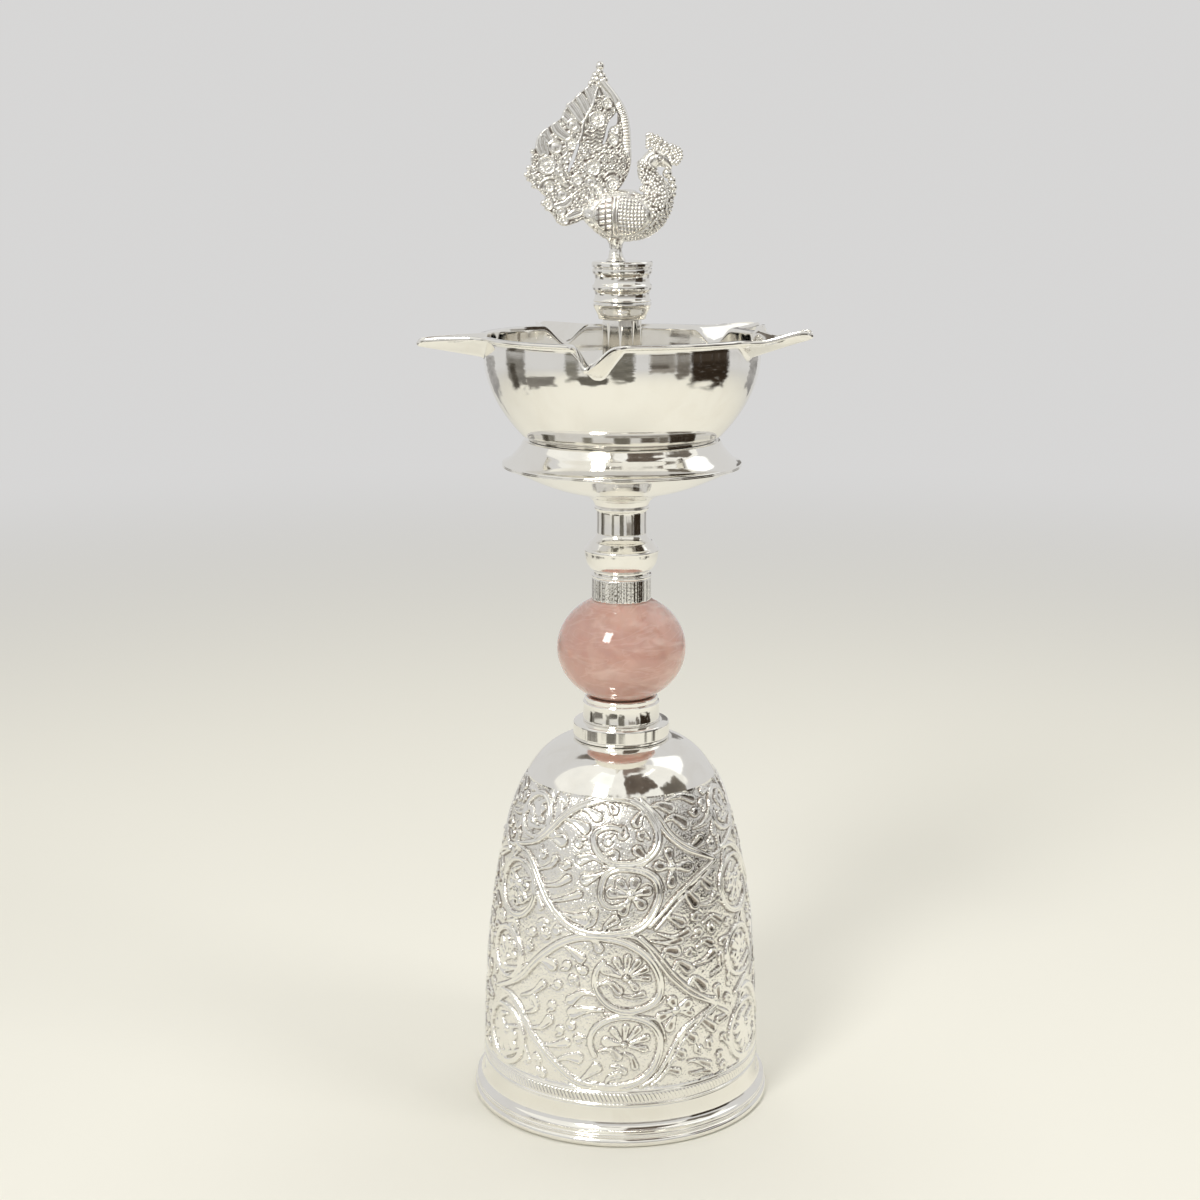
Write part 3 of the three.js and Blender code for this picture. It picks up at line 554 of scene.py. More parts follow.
@dataclass(frozen=True)
class SteelFinish(Finish):
    """Zinc-plated steel hardware, satin."""

    colour: Colour = (0.60, 0.60, 0.58)
    shade: Colour = (0.43, 0.44, 0.44)

    def paint(self, graph: Graph, axis: Vector) -> dict[str, Socket]:
        """Blotches the zinc over a fine level grain."""
        where = graph.where()
        grain = graph.noise(graph.mapped(where, Scale=(1.0, 1.0, 12.0)), 500.0, 4.0)
        blotch = graph.spread(graph.noise(where, 220.0, 3.0), 0.35, 0.65)
        return {
            "Base Color": graph.mix(blotch, rgba(self.shade), rgba(self.colour)), "Metallic": 1.0,
            "Roughness": graph.spread(grain, 0.3, 0.7, 0.26, 0.46), "Normal": graph.bump(grain, 0.012),
        }


@dataclass(frozen=True)
class LeatherFinish(Finish):
    """Oiled leather, cut with a punch."""

    colour: Colour = (0.19, 0.10, 0.06)
    shade: Colour = (0.09, 0.05, 0.03)

    def paint(self, graph: Graph, axis: Vector) -> dict[str, Socket]:
        """Blotches the oil over a pebbled grain."""
        where = graph.where()
        blotch = graph.noise(where, 300.0, 4.0)
        return {
            "Base Color": graph.mix(graph.spread(blotch, 0.35, 0.65), rgba(self.shade), rgba(self.colour)),
            "Roughness": graph.spread(blotch, 0.3, 0.7, 0.5, 0.72),
            "Normal": graph.bump(graph.cells(where, 1600.0), 0.12),
        }


FINISHES = {
    Slot.TURNED: SilverFinish("silver_turned_bright"),
    Slot.CHASED: ChasedFinish("silver_chased", pit_depth=0.004, waver_size=6.0, waver_depth=0.03),
    Slot.BOWL: SilverFinish(
        "silver_spun_bowl", line_pitch=0.8, line_depth=0.006, line_reach=39.9, waver_depth=0.035, waver_size=12.0
    ),
    Slot.CAST: SilverFinish("silver_cast", polish=0.1, dull=0.24, pit_depth=0.006, waver_depth=0.01, waver_size=2.5),
    Slot.QUARTZ: QuartzFinish("rose_quartz_polished"),
    Slot.STEEL: SteelFinish("zinc_plated_steel"),
    Slot.LEATHER: LeatherFinish("oiled_seal_leather"),
}
# Its patina colour also paints the shade in the tail's slits.
ANTIQUED = ChasedFinish(
    "silver_cast_antiqued", polish=0.17, dull=0.3, pit_depth=0.004, waver_depth=0.01, waver_size=2.5, punch_depth=0.01,
    patina=(0.17, 0.135, 0.11), patina_most=0.95,
)


class Workshop:
    """Finishes meshes into pieces of the lamp."""

    def __init__(self, frame: PackedFrame) -> None:
        """Keeps the frame that pieces are set in, and makes the finishes."""
        self.frame = frame
        self.finishes = {slot: finish.build(frame.axis) for slot, finish in FINISHES.items()}
        self.antiqued = ANTIQUED.build(frame.axis)

    def deliver(
        self, mesh: Mesh, label: Label, crease: float = 35.0, finish: Optional[bpy.types.Material] = None
    ) -> None:
        """Moves a mesh to its place, dresses it and seats it on its body.

        Args:
            mesh: The mesh in mm, which is used up.
            label: The piece's name, node, body and slot.
            crease: The angle in degrees past which an edge is shaded sharp.
            finish: Its material, if it isn't its slot's own.
        """
        bmesh.ops.transform(mesh, matrix=self.frame.place(), verts=mesh.verts)
        data = bpy.data.meshes.new(label.name)
        mesh.to_mesh(data)
        mesh.free()
        data.shade_smooth()
        facing = data.attributes.get("facing")
        if facing is not None:
            normals = np.zeros(len(data.vertices) * 3, np.float32)
            facing.data.foreach_get("vector", normals)
            data.normals_split_custom_set_from_vertices(normals.reshape(-1, 3).tolist())
            data.attributes.remove(data.attributes["facing"])
        else:
            data.set_sharp_from_angle(angle=math.radians(crease))
        data.materials.append(finish or self.finishes[label.slot])
        piece = bpy.data.objects.new(label.name, data)
        bpy.context.scene.collection.objects.link(piece)
        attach(piece, label.body.value)
        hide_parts(label.node)
        log.info("%s: %d faces, rides on %s", label.name, len(data.polygons), label.body.value)


@dataclass(frozen=True)
class Card:
    """A board that only reflections see, as a photographer puts round bright silver.

    It is swept round the lamp from start to end, in degrees to the right of the front. Its inner and outer edges
    are (distance from the axis, height) in mm.
    """

    name: str
    start: float
    end: float
    inner: Point
    outer: Point
    colour: Colour
    ragged: float = 0.4


CARDS = (
    Card("ceiling_front", -104.0, 104.0, (1540.0, 823.0), (148.0, 1798.0), (0.93, 0.92, 0.87), 0.08),
    Card("boards_right", 55.0, 98.0, (395.0, 2.0), (2600.0, 2.0), (0.030, 0.021, 0.014)),
    Card("boards_right_edge", 42.0, 58.0, (530.0, 3.0), (2600.0, 3.0), (0.15, 0.135, 0.115)),
    Card("boards_front_right", 20.0, 45.0, (780.0, 2.0), (2600.0, 2.0), (0.27, 0.25, 0.22)),
    Card("bench_front_right", 21.0, 40.0, (1250.0, 3.0), (2000.0, 3.0), (0.10, 0.085, 0.07)),
    Card("boards_front", -11.0, 11.0, (410.0, 2.0), (2600.0, 2.0), (0.16, 0.15, 0.125)),
    Card("boards_front_left", -38.0, -10.0, (385.0, 3.0), (700.0, 3.0), (0.13, 0.12, 0.10)),
    Card("boards_left_streak", -49.0, -34.0, (490.0, 2.0), (2600.0, 2.0), (0.21, 0.20, 0.17)),
    Card("boards_left_near", -90.0, -56.0, (385.0, 3.0), (680.0, 3.0), (0.24, 0.225, 0.20)),
    Card("boards_left", -111.0, -85.0, (370.0, 2.0), (2600.0, 2.0), (0.20, 0.19, 0.17)),
    Card("boards_left_dark", -107.0, -96.0, (400.0, 4.0), (1700.0, 4.0), (0.07, 0.062, 0.05)),
    Card("wall_front", -22.0, 116.0, (2700.0, -60.0), (2700.0, 520.0), (0.34, 0.325, 0.30)),
    Card("cupboard_right", 55.0, 96.0, (2300.0, -60.0), (2300.0, 680.0), (0.05, 0.038, 0.028)),
    Card("canopy_front", 4.0, 58.0, (1040.0, 1050.0), (480.0, 1430.0), (0.125, 0.10, 0.08)),
    Card("canopy_top", 4.0, 100.0, (510.0, 1410.0), (110.0, 1505.0), (0.24, 0.19, 0.16)),
    Card("shelf_right", 56.0, 94.0, (1290.0, 700.0), (1010.0, 1070.0), (0.17, 0.15, 0.125)),
    Card("shelf_front", -26.0, 1.0, (1120.0, 930.0), (990.0, 1100.0), (0.2, 0.18, 0.15)),
    Card("window_right", 98.0, 138.0, (1147.0, 908.0), (569.0, 1384.0), (1.25, 1.26, 1.24), 0.12),
    Card("window_left", -58.0, -14.0, (900.0, 1177.0), (433.0, 1436.0), (1.12, 1.14, 1.08), 0.12),
    Card("window_arch", 46.0, 86.0, (640.0, 1245.0), (560.0, 1300.0), (3.2, 3.2, 3.1), 0.2),
    Card("boards_back", 128.0, 152.0, (600.0, 2.0), (2400.0, 2.0), (0.36, 0.35, 0.34)),
    Card("boards_back_left", 206.0, 232.0, (500.0, 2.0), (2400.0, 2.0), (0.38, 0.37, 0.36)),
    Card("shelf_back", 164.0, 178.0, (1900.0, 240.0), (1900.0, 720.0), (0.22, 0.21, 0.20)),
    Card("canopy_back", 196.0, 232.0, (900.0, 1177.0), (500.0, 1400.0), (0.16, 0.14, 0.12)),
)


@dataclass(frozen=True)
class Softbox:
    """A soft light: its place from the axis and its size in mm, its power in watts, and whether silver mirrors it."""

    name: str
    place: tuple[float, float, float]
    size: Point
    power: float
    mirrored: bool = False


SOFTBOXES = (
    Softbox("key_front_left", (-525.0, -873.0, 1023.0), (300.0, 520.0), 6.6, True),
    Softbox("fill_front_right", (820.0, -420.0, 760.0), (420.0, 340.0), 2.4),
    Softbox("top_soft", (60.0, 260.0, 1250.0), (800.0, 640.0), 6.0),
)


@dataclass
class Studio:
    """The floor, the pale surroundings, the lights and the camera."""

    frame: PackedFrame
    camera_place: tuple[float, float, float] = (-6.3, -577.0, 275.0)
    camera_pitch: float = 12.06
    lens: float = 60.29
    floor_radius: float = 6000.0
    floor_colour: Colour = (0.88, 0.865, 0.785)
    haze_colour: Colour = (0.68, 0.675, 0.67)
    haze_reach: Point = (320.0, 1350.0)
    world_light: float = 0.55
    light_colour: Colour = (1.0, 0.985, 0.95)
    lit_height: float = 130.0
    board_fade: float = 90.0
    board_fade_degrees: float = 4.0
    board_on_floor: float = 10.0

    def _place(self, thing: bpy.types.Object, place: Sequence[float]) -> None:
        """Sets a thing at a place in mm from the lamp's axis."""
        thing.location = self.frame.axis + Vector(place) * MM
        bpy.context.scene.collection.objects.link(thing)

    def camera(self) -> None:
        """Sets the camera where the photographer stood."""
        data = bpy.data.cameras.new("camera")
        data.lens = self.lens
        data.sensor_width = 36.0
        data.clip_start, data.clip_end = 0.01, 50.0
        camera = bpy.data.objects.new("camera", data)
        self._place(camera, self.camera_place)
        camera.rotation_euler = (math.radians(90.0 - self.camera_pitch), 0.0, 0.0)
        bpy.context.scene.camera = camera

    def _seen(self, graph: Graph) -> Output:
        """Gives 1 where the camera, a reflection or a see-through piece looks, and 0 where light is gathered."""
        rays = graph.add("LightPath").outputs
        either = graph.math("MAXIMUM", rays["Is Camera Ray"], rays["Is Glossy Ray"])
        return graph.math("MAXIMUM", either, rays["Is Transmission Ray"])

    def surroundings(self) -> None:
        """Sets a pale, even world."""
        world = bpy.data.worlds.new("pale_surroundings")
        world.use_nodes = True
        bpy.context.scene.world = world
        graph = Graph(world.node_tree)
        strength = graph.add("Mix", {0: self._seen(graph), 2: self.world_light, 3: 1.0}).outputs[0]
        background = graph.add("Background", {"Color": rgba(self.haze_colour), "Strength": strength})
        graph.add("OutputWorld", {"Surface": background.outputs[0]})

    def floor(self) -> None:
        """Lays a plain floor that fades into the surroundings with distance."""
        mesh = bmesh.new()
        bmesh.ops.create_circle(mesh, cap_ends=True, segments=96, radius=self.floor_radius * MM)
        material, graph = Graph.of_new("pale_floor")
        away = graph.add("VectorMath", {0: graph.where()}, operation="LENGTH").outputs["Value"]
        paint = graph.add("BsdfDiffuse", {"Color": rgba(self.floor_colour)}).outputs[0]
        haze = graph.add("Emission", {"Color": rgba(self.haze_colour)}).outputs[0]
        near, far = self.haze_reach
        fade = graph.times(graph.spread(away, near * MM, far * MM), self._seen(graph))
        graph.add("OutputMaterial", {"Surface": graph.add("MixShader", {0: fade, 1: paint, 2: haze}).outputs[0]})
        self._stand(mesh, "floor", material)

    def _stand(self, mesh: Mesh, name: str, material: bpy.types.Material) -> bpy.types.Object:
        """Puts a mesh of the studio in the scene."""
        data = bpy.data.meshes.new(name)
        mesh.to_mesh(data)
        mesh.free()
        data.materials.append(material)
        thing = bpy.data.objects.new(name, data)
        bpy.context.scene.collection.objects.link(thing)
        return thing

    def boards(self) -> None:
        """Stands the boards round the lamp."""
        for card in CARDS:
            mesh = bmesh.new()
            start = math.radians(card.start - 90.0)
            ends = [swept(away, start, height) for away, height in (card.inner, card.outer)]
            verts = [mesh.verts.new(self.frame.axis + Vector(end) * MM) for end in ends]
            edge = mesh.edges.new(verts)
            sweep = math.radians(card.end - card.start)
            bmesh.ops.spin(mesh, geom=verts + [edge], cent=self.frame.axis, axis=(0, 0, 1), angle=sweep, steps=24)
            bmesh.ops.subdivide_edges(mesh, edges=mesh.edges, cuts=7, use_grid_fill=True)
            board = self._stand(mesh, card.name, self._board_paint(card))
            self._mark_edges(card, board.data)
            board.visible_camera = board.visible_diffuse = board.visible_shadow = board.visible_transmission = False

    def _mark_edges(self, card: Card, data: bpy.types.Mesh) -> None:
        """Notes how near each point of a board is to its edges, for its paint to fade by.

        Args:
            card: The board.
            data: Its mesh.
        """
        points = np.zeros(len(data.vertices) * 3)
        data.vertices.foreach_get("co", points)
        points = (points.reshape(-1, 3) - np.array(self.frame.axis)) / MM
        angle = np.degrees(np.arctan2(points[:, 1], points[:, 0])) + 90.0
        turn = (angle - (card.start + card.end) / 2 + 180.0) % 360.0 - 180.0
        side = ((card.end - card.start) / 2 - np.abs(turn)) / self.board_fade_degrees
        step = np.subtract(card.outer, card.inner)
        length = float(np.hypot(*step))
        out = np.stack([np.hypot(points[:, 0], points[:, 1]), points[:, 2]], axis=1) - np.array(card.inner)
        along = out @ step / length
        near = np.minimum(side, along / self.board_fade)
        if card.inner[1] >= self.board_on_floor:
            near = np.minimum(near, (length - along) / self.board_fade)
        marks = data.attributes.new("edge", "FLOAT", "POINT")
        marks.data.foreach_set("value", unit(near).astype(np.float32))

    def _board_paint(self, card: Card) -> bpy.types.Material:
        """Mixes a board's own plain glow, which breaks up towards its edges.

        Args:
            card: The board.

        Returns:
            The material.
        """
        material, graph = Graph.of_new(card.name)
        where = graph.where()
        marks = graph.add("Attribute", attribute_name="edge").outputs["Fac"]
        patchy = 0.6 * card.ragged
        strength = graph.spread(graph.noise(where, 2.6, 4.0, 0.6), 0.3, 0.7, 1.0 - patchy, 1.0 + patchy)
        glow = graph.add("Emission", {"Color": rgba(card.colour), "Strength": strength}).outputs[0]
        clear = graph.add("BsdfTransparent").outputs[0]
        torn = graph.spread(graph.noise(where, 7.0, 3.0), 0.3, 0.7, -card.ragged, card.ragged)
        cover = graph.spread(graph.plus(marks, torn), 0.15, 0.75)
        graph.add("OutputMaterial", {"Surface": graph.add("MixShader", {0: cover, 1: clear, 2: glow}).outputs[0]})
        return material

    def lamps(self) -> None:
        """Hangs the soft lights."""
        for box in SOFTBOXES:
            data = bpy.data.lights.new(box.name, "AREA")
            data.shape = "RECTANGLE"
            data.size, data.size_y = box.size[0] * MM, box.size[1] * MM
            data.energy = box.power
            data.color = self.light_colour
            light = bpy.data.objects.new(box.name, data)
            self._place(light, box.place)
            aim = self.frame.axis + Vector((0, 0, self.lit_height)) * MM - light.location
            light.rotation_euler = aim.to_track_quat("-Z", "Y").to_euler()
            light.visible_glossy = box.mirrored

    def build(self) -> None:
        """Sets up the whole studio."""
        bpy.context.scene.view_settings.view_transform = "Standard"
        for step in (self.camera, self.surroundings, self.floor, self.boards, self.lamps):
            step()


@dataclass
class Turner:
    """Turns pieces on the lathe. Each profile is drawn between the heights of its CAD node's bottom and top."""

    workshop: Workshop

    def turn(self, profile: Callable[[float, float], list[Corner]], label: Label, columns: int = SMALL) -> None:
        """Turns a profile and hands the piece in.

        Args:
            profile: Draws the profile's corners between two heights.
            label: The piece's name, node, body and slot.
            columns: The number of steps round.
        """
        self.workshop.deliver(turned(profile(*self.workshop.frame.reach(label.node)), columns), label)


class Stem(Turner):
    """The turned pieces from the bell's collar up to the drip skirt, and the foot ring below."""

    def foot(self, low: float, high: float) -> list[Corner]:
        """Draws the foot ring: a rolled lip, a step and a flare that the bell stands on."""
        seat = low + 10.3
        return [
            Corner(41.45, low, 0.3),
            *arc((43.55, low + 1.35), 1.35, -90, 78, 12),
            Corner(43.72, low + 2.85),
            *arc((43.75, low + 3.45), 0.52, -60, 60, 6),
            *curve([(43.98, 4.25), (43.0, 4.7), (42.2, 5.6), (41.8, 6.8), (41.6, 8.4), (41.5, 10.3)], 24, low),
            Corner(40.35, seat, 0.1),
            Corner(40.3, high - 0.1, 0.25),
            Corner(39.3, high - 0.1, 0.25),
            *curve([(39.3, 9.3), (39.7, 5.2), (41.2, 0.9)], 10, low),
        ]

    def collar(self, low: float, high: float) -> list[Corner]:
        """Draws the broad collar on the dome."""
        return [
            Corner(BORE, low, 0.1),
            Corner(14.0, low, 0.25),
            Corner(14.3, low + 0.9, 0.3),
            Corner(14.2, high - 0.3, 0.55),
            Corner(12.2, high, 0.25),
            Corner(BORE, high, 0.1),
        ]

    def seat(self, low: float, high: float) -> list[Corner]:
        """Draws the narrower collar whose hollow holds the bead."""
        rim = high - 1.9
        return [
            Corner(BORE, low, 0.1),
            Corner(11.35, low, 0.2),
            *curve([(11.4, low + 0.6), (11.25, low + 2.6), (11.2, rim - 0.9), (11.35, rim)], 10),
            Corner(11.2, rim + 0.35, 0.12),
            Corner(10.75, rim + 0.5, 0.1),
            *curve([(10.8, rim + 0.9), (10.85, high - 0.4)], 3),
            Corner(10.6, high, 0.22),
            Corner(BORE, high, 0.1),
        ]

    def bead(self, low: float, high: float) -> list[Corner]:
        """Draws the rose quartz bead, a little fuller than an ellipse, with its bore."""
        radius, full, bore = 18.98, 16.3, BORE + 0.3
        flat = math.degrees(math.asin((high - low) / 2 / full))
        side = arc((0.0, 0.0), 1.0, -flat, flat, 72)
        return [
            Corner(bore, low, 0.2),
            *(Corner(corner.radius * radius, (low + high) / 2 + corner.height * full) for corner in side),
            Corner(bore, high, 0.2),
        ]

    def sleeve(self) -> None:
        """Turns the short sleeve above the bead, with a bright rim line and a rough upright texture."""
        low, high = self.workshop.frame.reach("reeded_sleeve")
        columns, reeds, most, plain = 288, 72, 8.88, 8.62
        reeded = [(plain, height) for height in np.linspace(low + 0.55, high - 1.2, 27)]
        foot = [(BORE, low), (8.35, low), (8.6, low + 0.2), (plain, low + 0.45)]
        head = [(8.5, high - 1.1), (8.55, high - 1.0), (8.85, high - 0.8), (most, high - 0.4), (8.8, high - 0.12)]
        radii, heights = np.array([*foot, *reeded, *head, (8.6, high), (BORE, high)]).T
        turn = whole_turn(columns)
        rng = np.random.default_rng(11)
        reed = 0.03 * np.cos(turn * reeds) + 0.03 * np.repeat(rng.normal(size=columns // 2), 2)
        chatter = np.zeros((len(radii), columns))
        chatter[len(foot) : len(foot) + len(reeded)] = reed + 0.012 * rng.normal(size=(len(reeded), columns))
        places = swept(np.clip(radii[:, None] + chatter, 0.0, most), turn, heights[:, None])
        self.workshop.deliver(rolled(places, joined=True), Label("reeded_sleeve_textured", "reeded_sleeve"), 60.0)

    def knop(self, low: float, high: float) -> list[Corner]:
        """Draws the knop: a cove, a round belly, a sharp shoulder and a hollow cone up to the neck."""
        crease = low + 7.4
        return [
            Corner(BORE, low, 0.1),
            Corner(8.2, low, 0.2),
            *curve([(8.15, 0.5), (8.25, 1.0), (8.75, 1.45)], 6, low),
            *curve([(9.2, 1.75), (10.15, 3.2), (10.65, 5.0), (10.85, 6.6)], 16, low),
            Corner(10.95, crease - 0.35, 0.12),
            Corner(10.75, crease + 0.2, 0.25),
            *curve([(10.35, 0.45), (9.6, 1.5), (9.15, 2.2)], 8, crease),
            Corner(8.95, crease + 2.4, 0.12),
            *curve([(8.6, crease + 2.6), (7.85, crease + 3.4), (7.4, high - 0.35)], 8),
            Corner(7.3, high, 0.1),
            Corner(BORE, high, 0.1),
        ]

    def neck(self, low: float, high: float) -> list[Corner]:
        """Draws the neck, which opens into a small ringed mouth under the saucer."""
        return [
            Corner(BORE, low, 0.1),
            Corner(7.3, low, 0.08),
            *curve([(7.3, low + 0.5), (7.25, low + 3.4), (7.3, high - 4.1)], 8),
            Corner(7.35, high - 3.75, 0.1),
            *curve([(7.75, -3.55), (8.0, -3.15), (8.0, -2.75), (7.8, -2.45)], 8, high),
            Corner(7.62, high - 2.35, 0.08),
            *curve([(7.85, -2.1), (8.1, -1.5), (8.45, -0.85)], 8, high),
            Corner(8.55, high - 0.62, 0.1),
            Corner(8.95, high - 0.45, 0.12),
            Corner(9.25, high, 0.1),
            Corner(BORE, high, 0.1),
        ]

    def saucer(self, low: float, high: float) -> list[Corner]:
        """Draws the dish under the drip edge."""
        under = [
            (9.3, 0), (11.2, 0.85), (14.2, 1.75), (18.0, 2.7), (23.2, 4.5), (28.1, 6.65), (32.4, 8.55), (34.3, 9.3),
        ]
        within = [(28.1, low + 7.95), (22.9, low + 5.75), (17.8, low + 3.8), (12.0, low + 2.1), (9.6, low + 1.2)]
        return [
            Corner(BORE, low, 0.1),
            *curve(under, 44, low),
            Corner(34.66, low + 9.35, 0.12),
            Corner(34.66, high, 0.06),
            Corner(33.1, high),
            *curve([(32.9, high - 0.15), *within], 20),
            Corner(BORE, low + 1.0, 0.1),
        ]

    def skirt(self, low: float, high: float) -> list[Corner]:
        """Draws the hollow-curved ring from the drip edge up to the bowl's groove."""
        outside = [(34.45, 0.62), (33.4, 1.05), (32.0, 2.2), (30.7, 3.6), (29.6, 4.9), (28.95, 6.1)]
        within = [(27.9, low + 5.0), (29.2, low + 3.2), (31.0, low + 1.6), (33.1, low + 0.3)]
        return [
            Corner(33.2, low),
            Corner(34.66, low, 0.06),
            Corner(34.68, low + 0.45, 0.15),
            *curve([*((radius, low + height) for radius, height in outside), (28.55, high - 0.35)], 34),
            Corner(28.2, high, 0.25),
            Corner(21.2, high, 0.1),
            Corner(21.2, high - 1.0, 0.1),
            Corner(27.0, high - 1.0, 0.1),
            *curve([(27.2, high - 1.1), *within], 20),
        ]

    def build(self) -> None:
        """Makes every piece of the stem."""
        self.turn(self.foot, Label("turned_foot_ring", "foot_ring"), LARGE)
        self.turn(self.collar, Label("turned_lower_collar", "lower_collar"))
        self.turn(self.seat, Label("turned_bead_seat", "bead_seat"))
        self.turn(self.bead, Label("polished_quartz_bead", "quartz_bead", slot=Slot.QUARTZ), LARGE)
        self.sleeve()
        self.turn(self.knop, Label("turned_knop", "knop"))
        self.turn(self.neck, Label("turned_neck", "neck"))
        self.turn(self.saucer, Label("spun_drip_saucer", "drip_saucer"), LARGE)
        self.turn(self.skirt, Label("spun_drip_skirt", "drip_skirt"), LARGE)


class ScrewSocket(Turner):
    """The post in the bowl, the smooth ferrule on it and the ribbed socket that screws down the rod."""

    def post(self, low: float, high: float) -> list[Corner]:
        """Draws the round post."""
        return [Corner(BORE, low, 0.1), Corner(5.6, low, 0.2), Corner(5.6, high, 0.2), Corner(BORE, high, 0.1)]

    def ferrule(self, low: float, high: float) -> list[Corner]:
        """Draws the smooth cup."""
        return [
            Corner(BORE, low, 0.1),
            Corner(6.75, low, 0.2),
            *curve([(6.8, low + 0.4), (7.15, low + 1.5), (7.95, low + 3.0), (8.3, high - 0.8)], 14),
            Corner(8.4, high - 0.45, 0.12),
            Corner(8.35, high, 0.18),
            Corner(BORE, high, 0.1),
        ]

    def socket(self, low: float, high: float) -> list[Corner]:
        """Draws the socket: coves between ribs under a bright rim."""
        bore, end = 3.2, low + 7.3
        return [
            Corner(0.0, end),
            Corner(bore, end, 0.1),
            Corner(bore, low, 0.1),
            Corner(8.2, low, 0.15),
            Corner(8.35, low + 0.35, 0.1),
            *curve([(8.1, 0.55), (7.86, 1.4), (7.86, 2.4), (8.1, 3.15)], 12, low),
            Corner(8.4, low + 3.35, 0.12),
            *curve([(8.42, 3.5), (8.52, 4.1), (8.42, 4.65)], 6, low),
            Corner(8.2, low + 4.85, 0.1),
            *curve([(8.02, 5.05), (7.82, 5.9), (7.84, 6.9), (8.08, 7.7)], 12, low),
            Corner(8.4, low + 7.9, 0.12),
            *curve([(8.45, 8.05), (8.55, 8.7), (8.48, 9.25)], 6, low),
            Corner(8.15, low + 9.45, 0.08),
            Corner(8.2, low + 9.75, 0.08),
            Corner(8.68, low + 9.9, 0.15),
            Corner(8.75, high - 0.55, 0.2),
            Corner(8.35, high, 0.3),
            Corner(7.2, high - 0.12, 0.2),
            Corner(0.0, high - 0.15),
        ]

    def build(self) -> None:
        """Makes the post, the ferrule and the socket."""
        self.turn(self.post, Label("turned_centre_post", "centre_post"))
        self.turn(self.ferrule, Label("turned_ferrule", "socket_ferrule", Body.FERRULE))
        self.turn(self.socket, Label("ribbed_finial_socket", "finial_socket", Body.FINIAL))


class Work(Enum):
    """The kinds of raised line in the bell's ornament."""

    STEM = "stem"
    FRAME = "frame"
    VEIN = "vein"


@dataclass(frozen=True)
class Stroke:
    """A raised line: its kind, half its width in mm, and its (degrees, height) places."""

    work: Work
    half: float
    places: tuple[Point, ...]


@dataclass(frozen=True)
class Flower:
    """A rosette: its centre, its ball's radius in mm, and each petal's (degrees, height, radius)."""

    centre: Point
    ball: float
    petals: tuple[tuple[float, float, float], ...]


@dataclass(frozen=True)
class Medallion:
    """A ring of stem with a rosette in it: its centre, its radius in mm, and its stem's start and sweep in degrees."""

    centre: Point
    radius: float
    start: float
    sweep: float
    petals: int


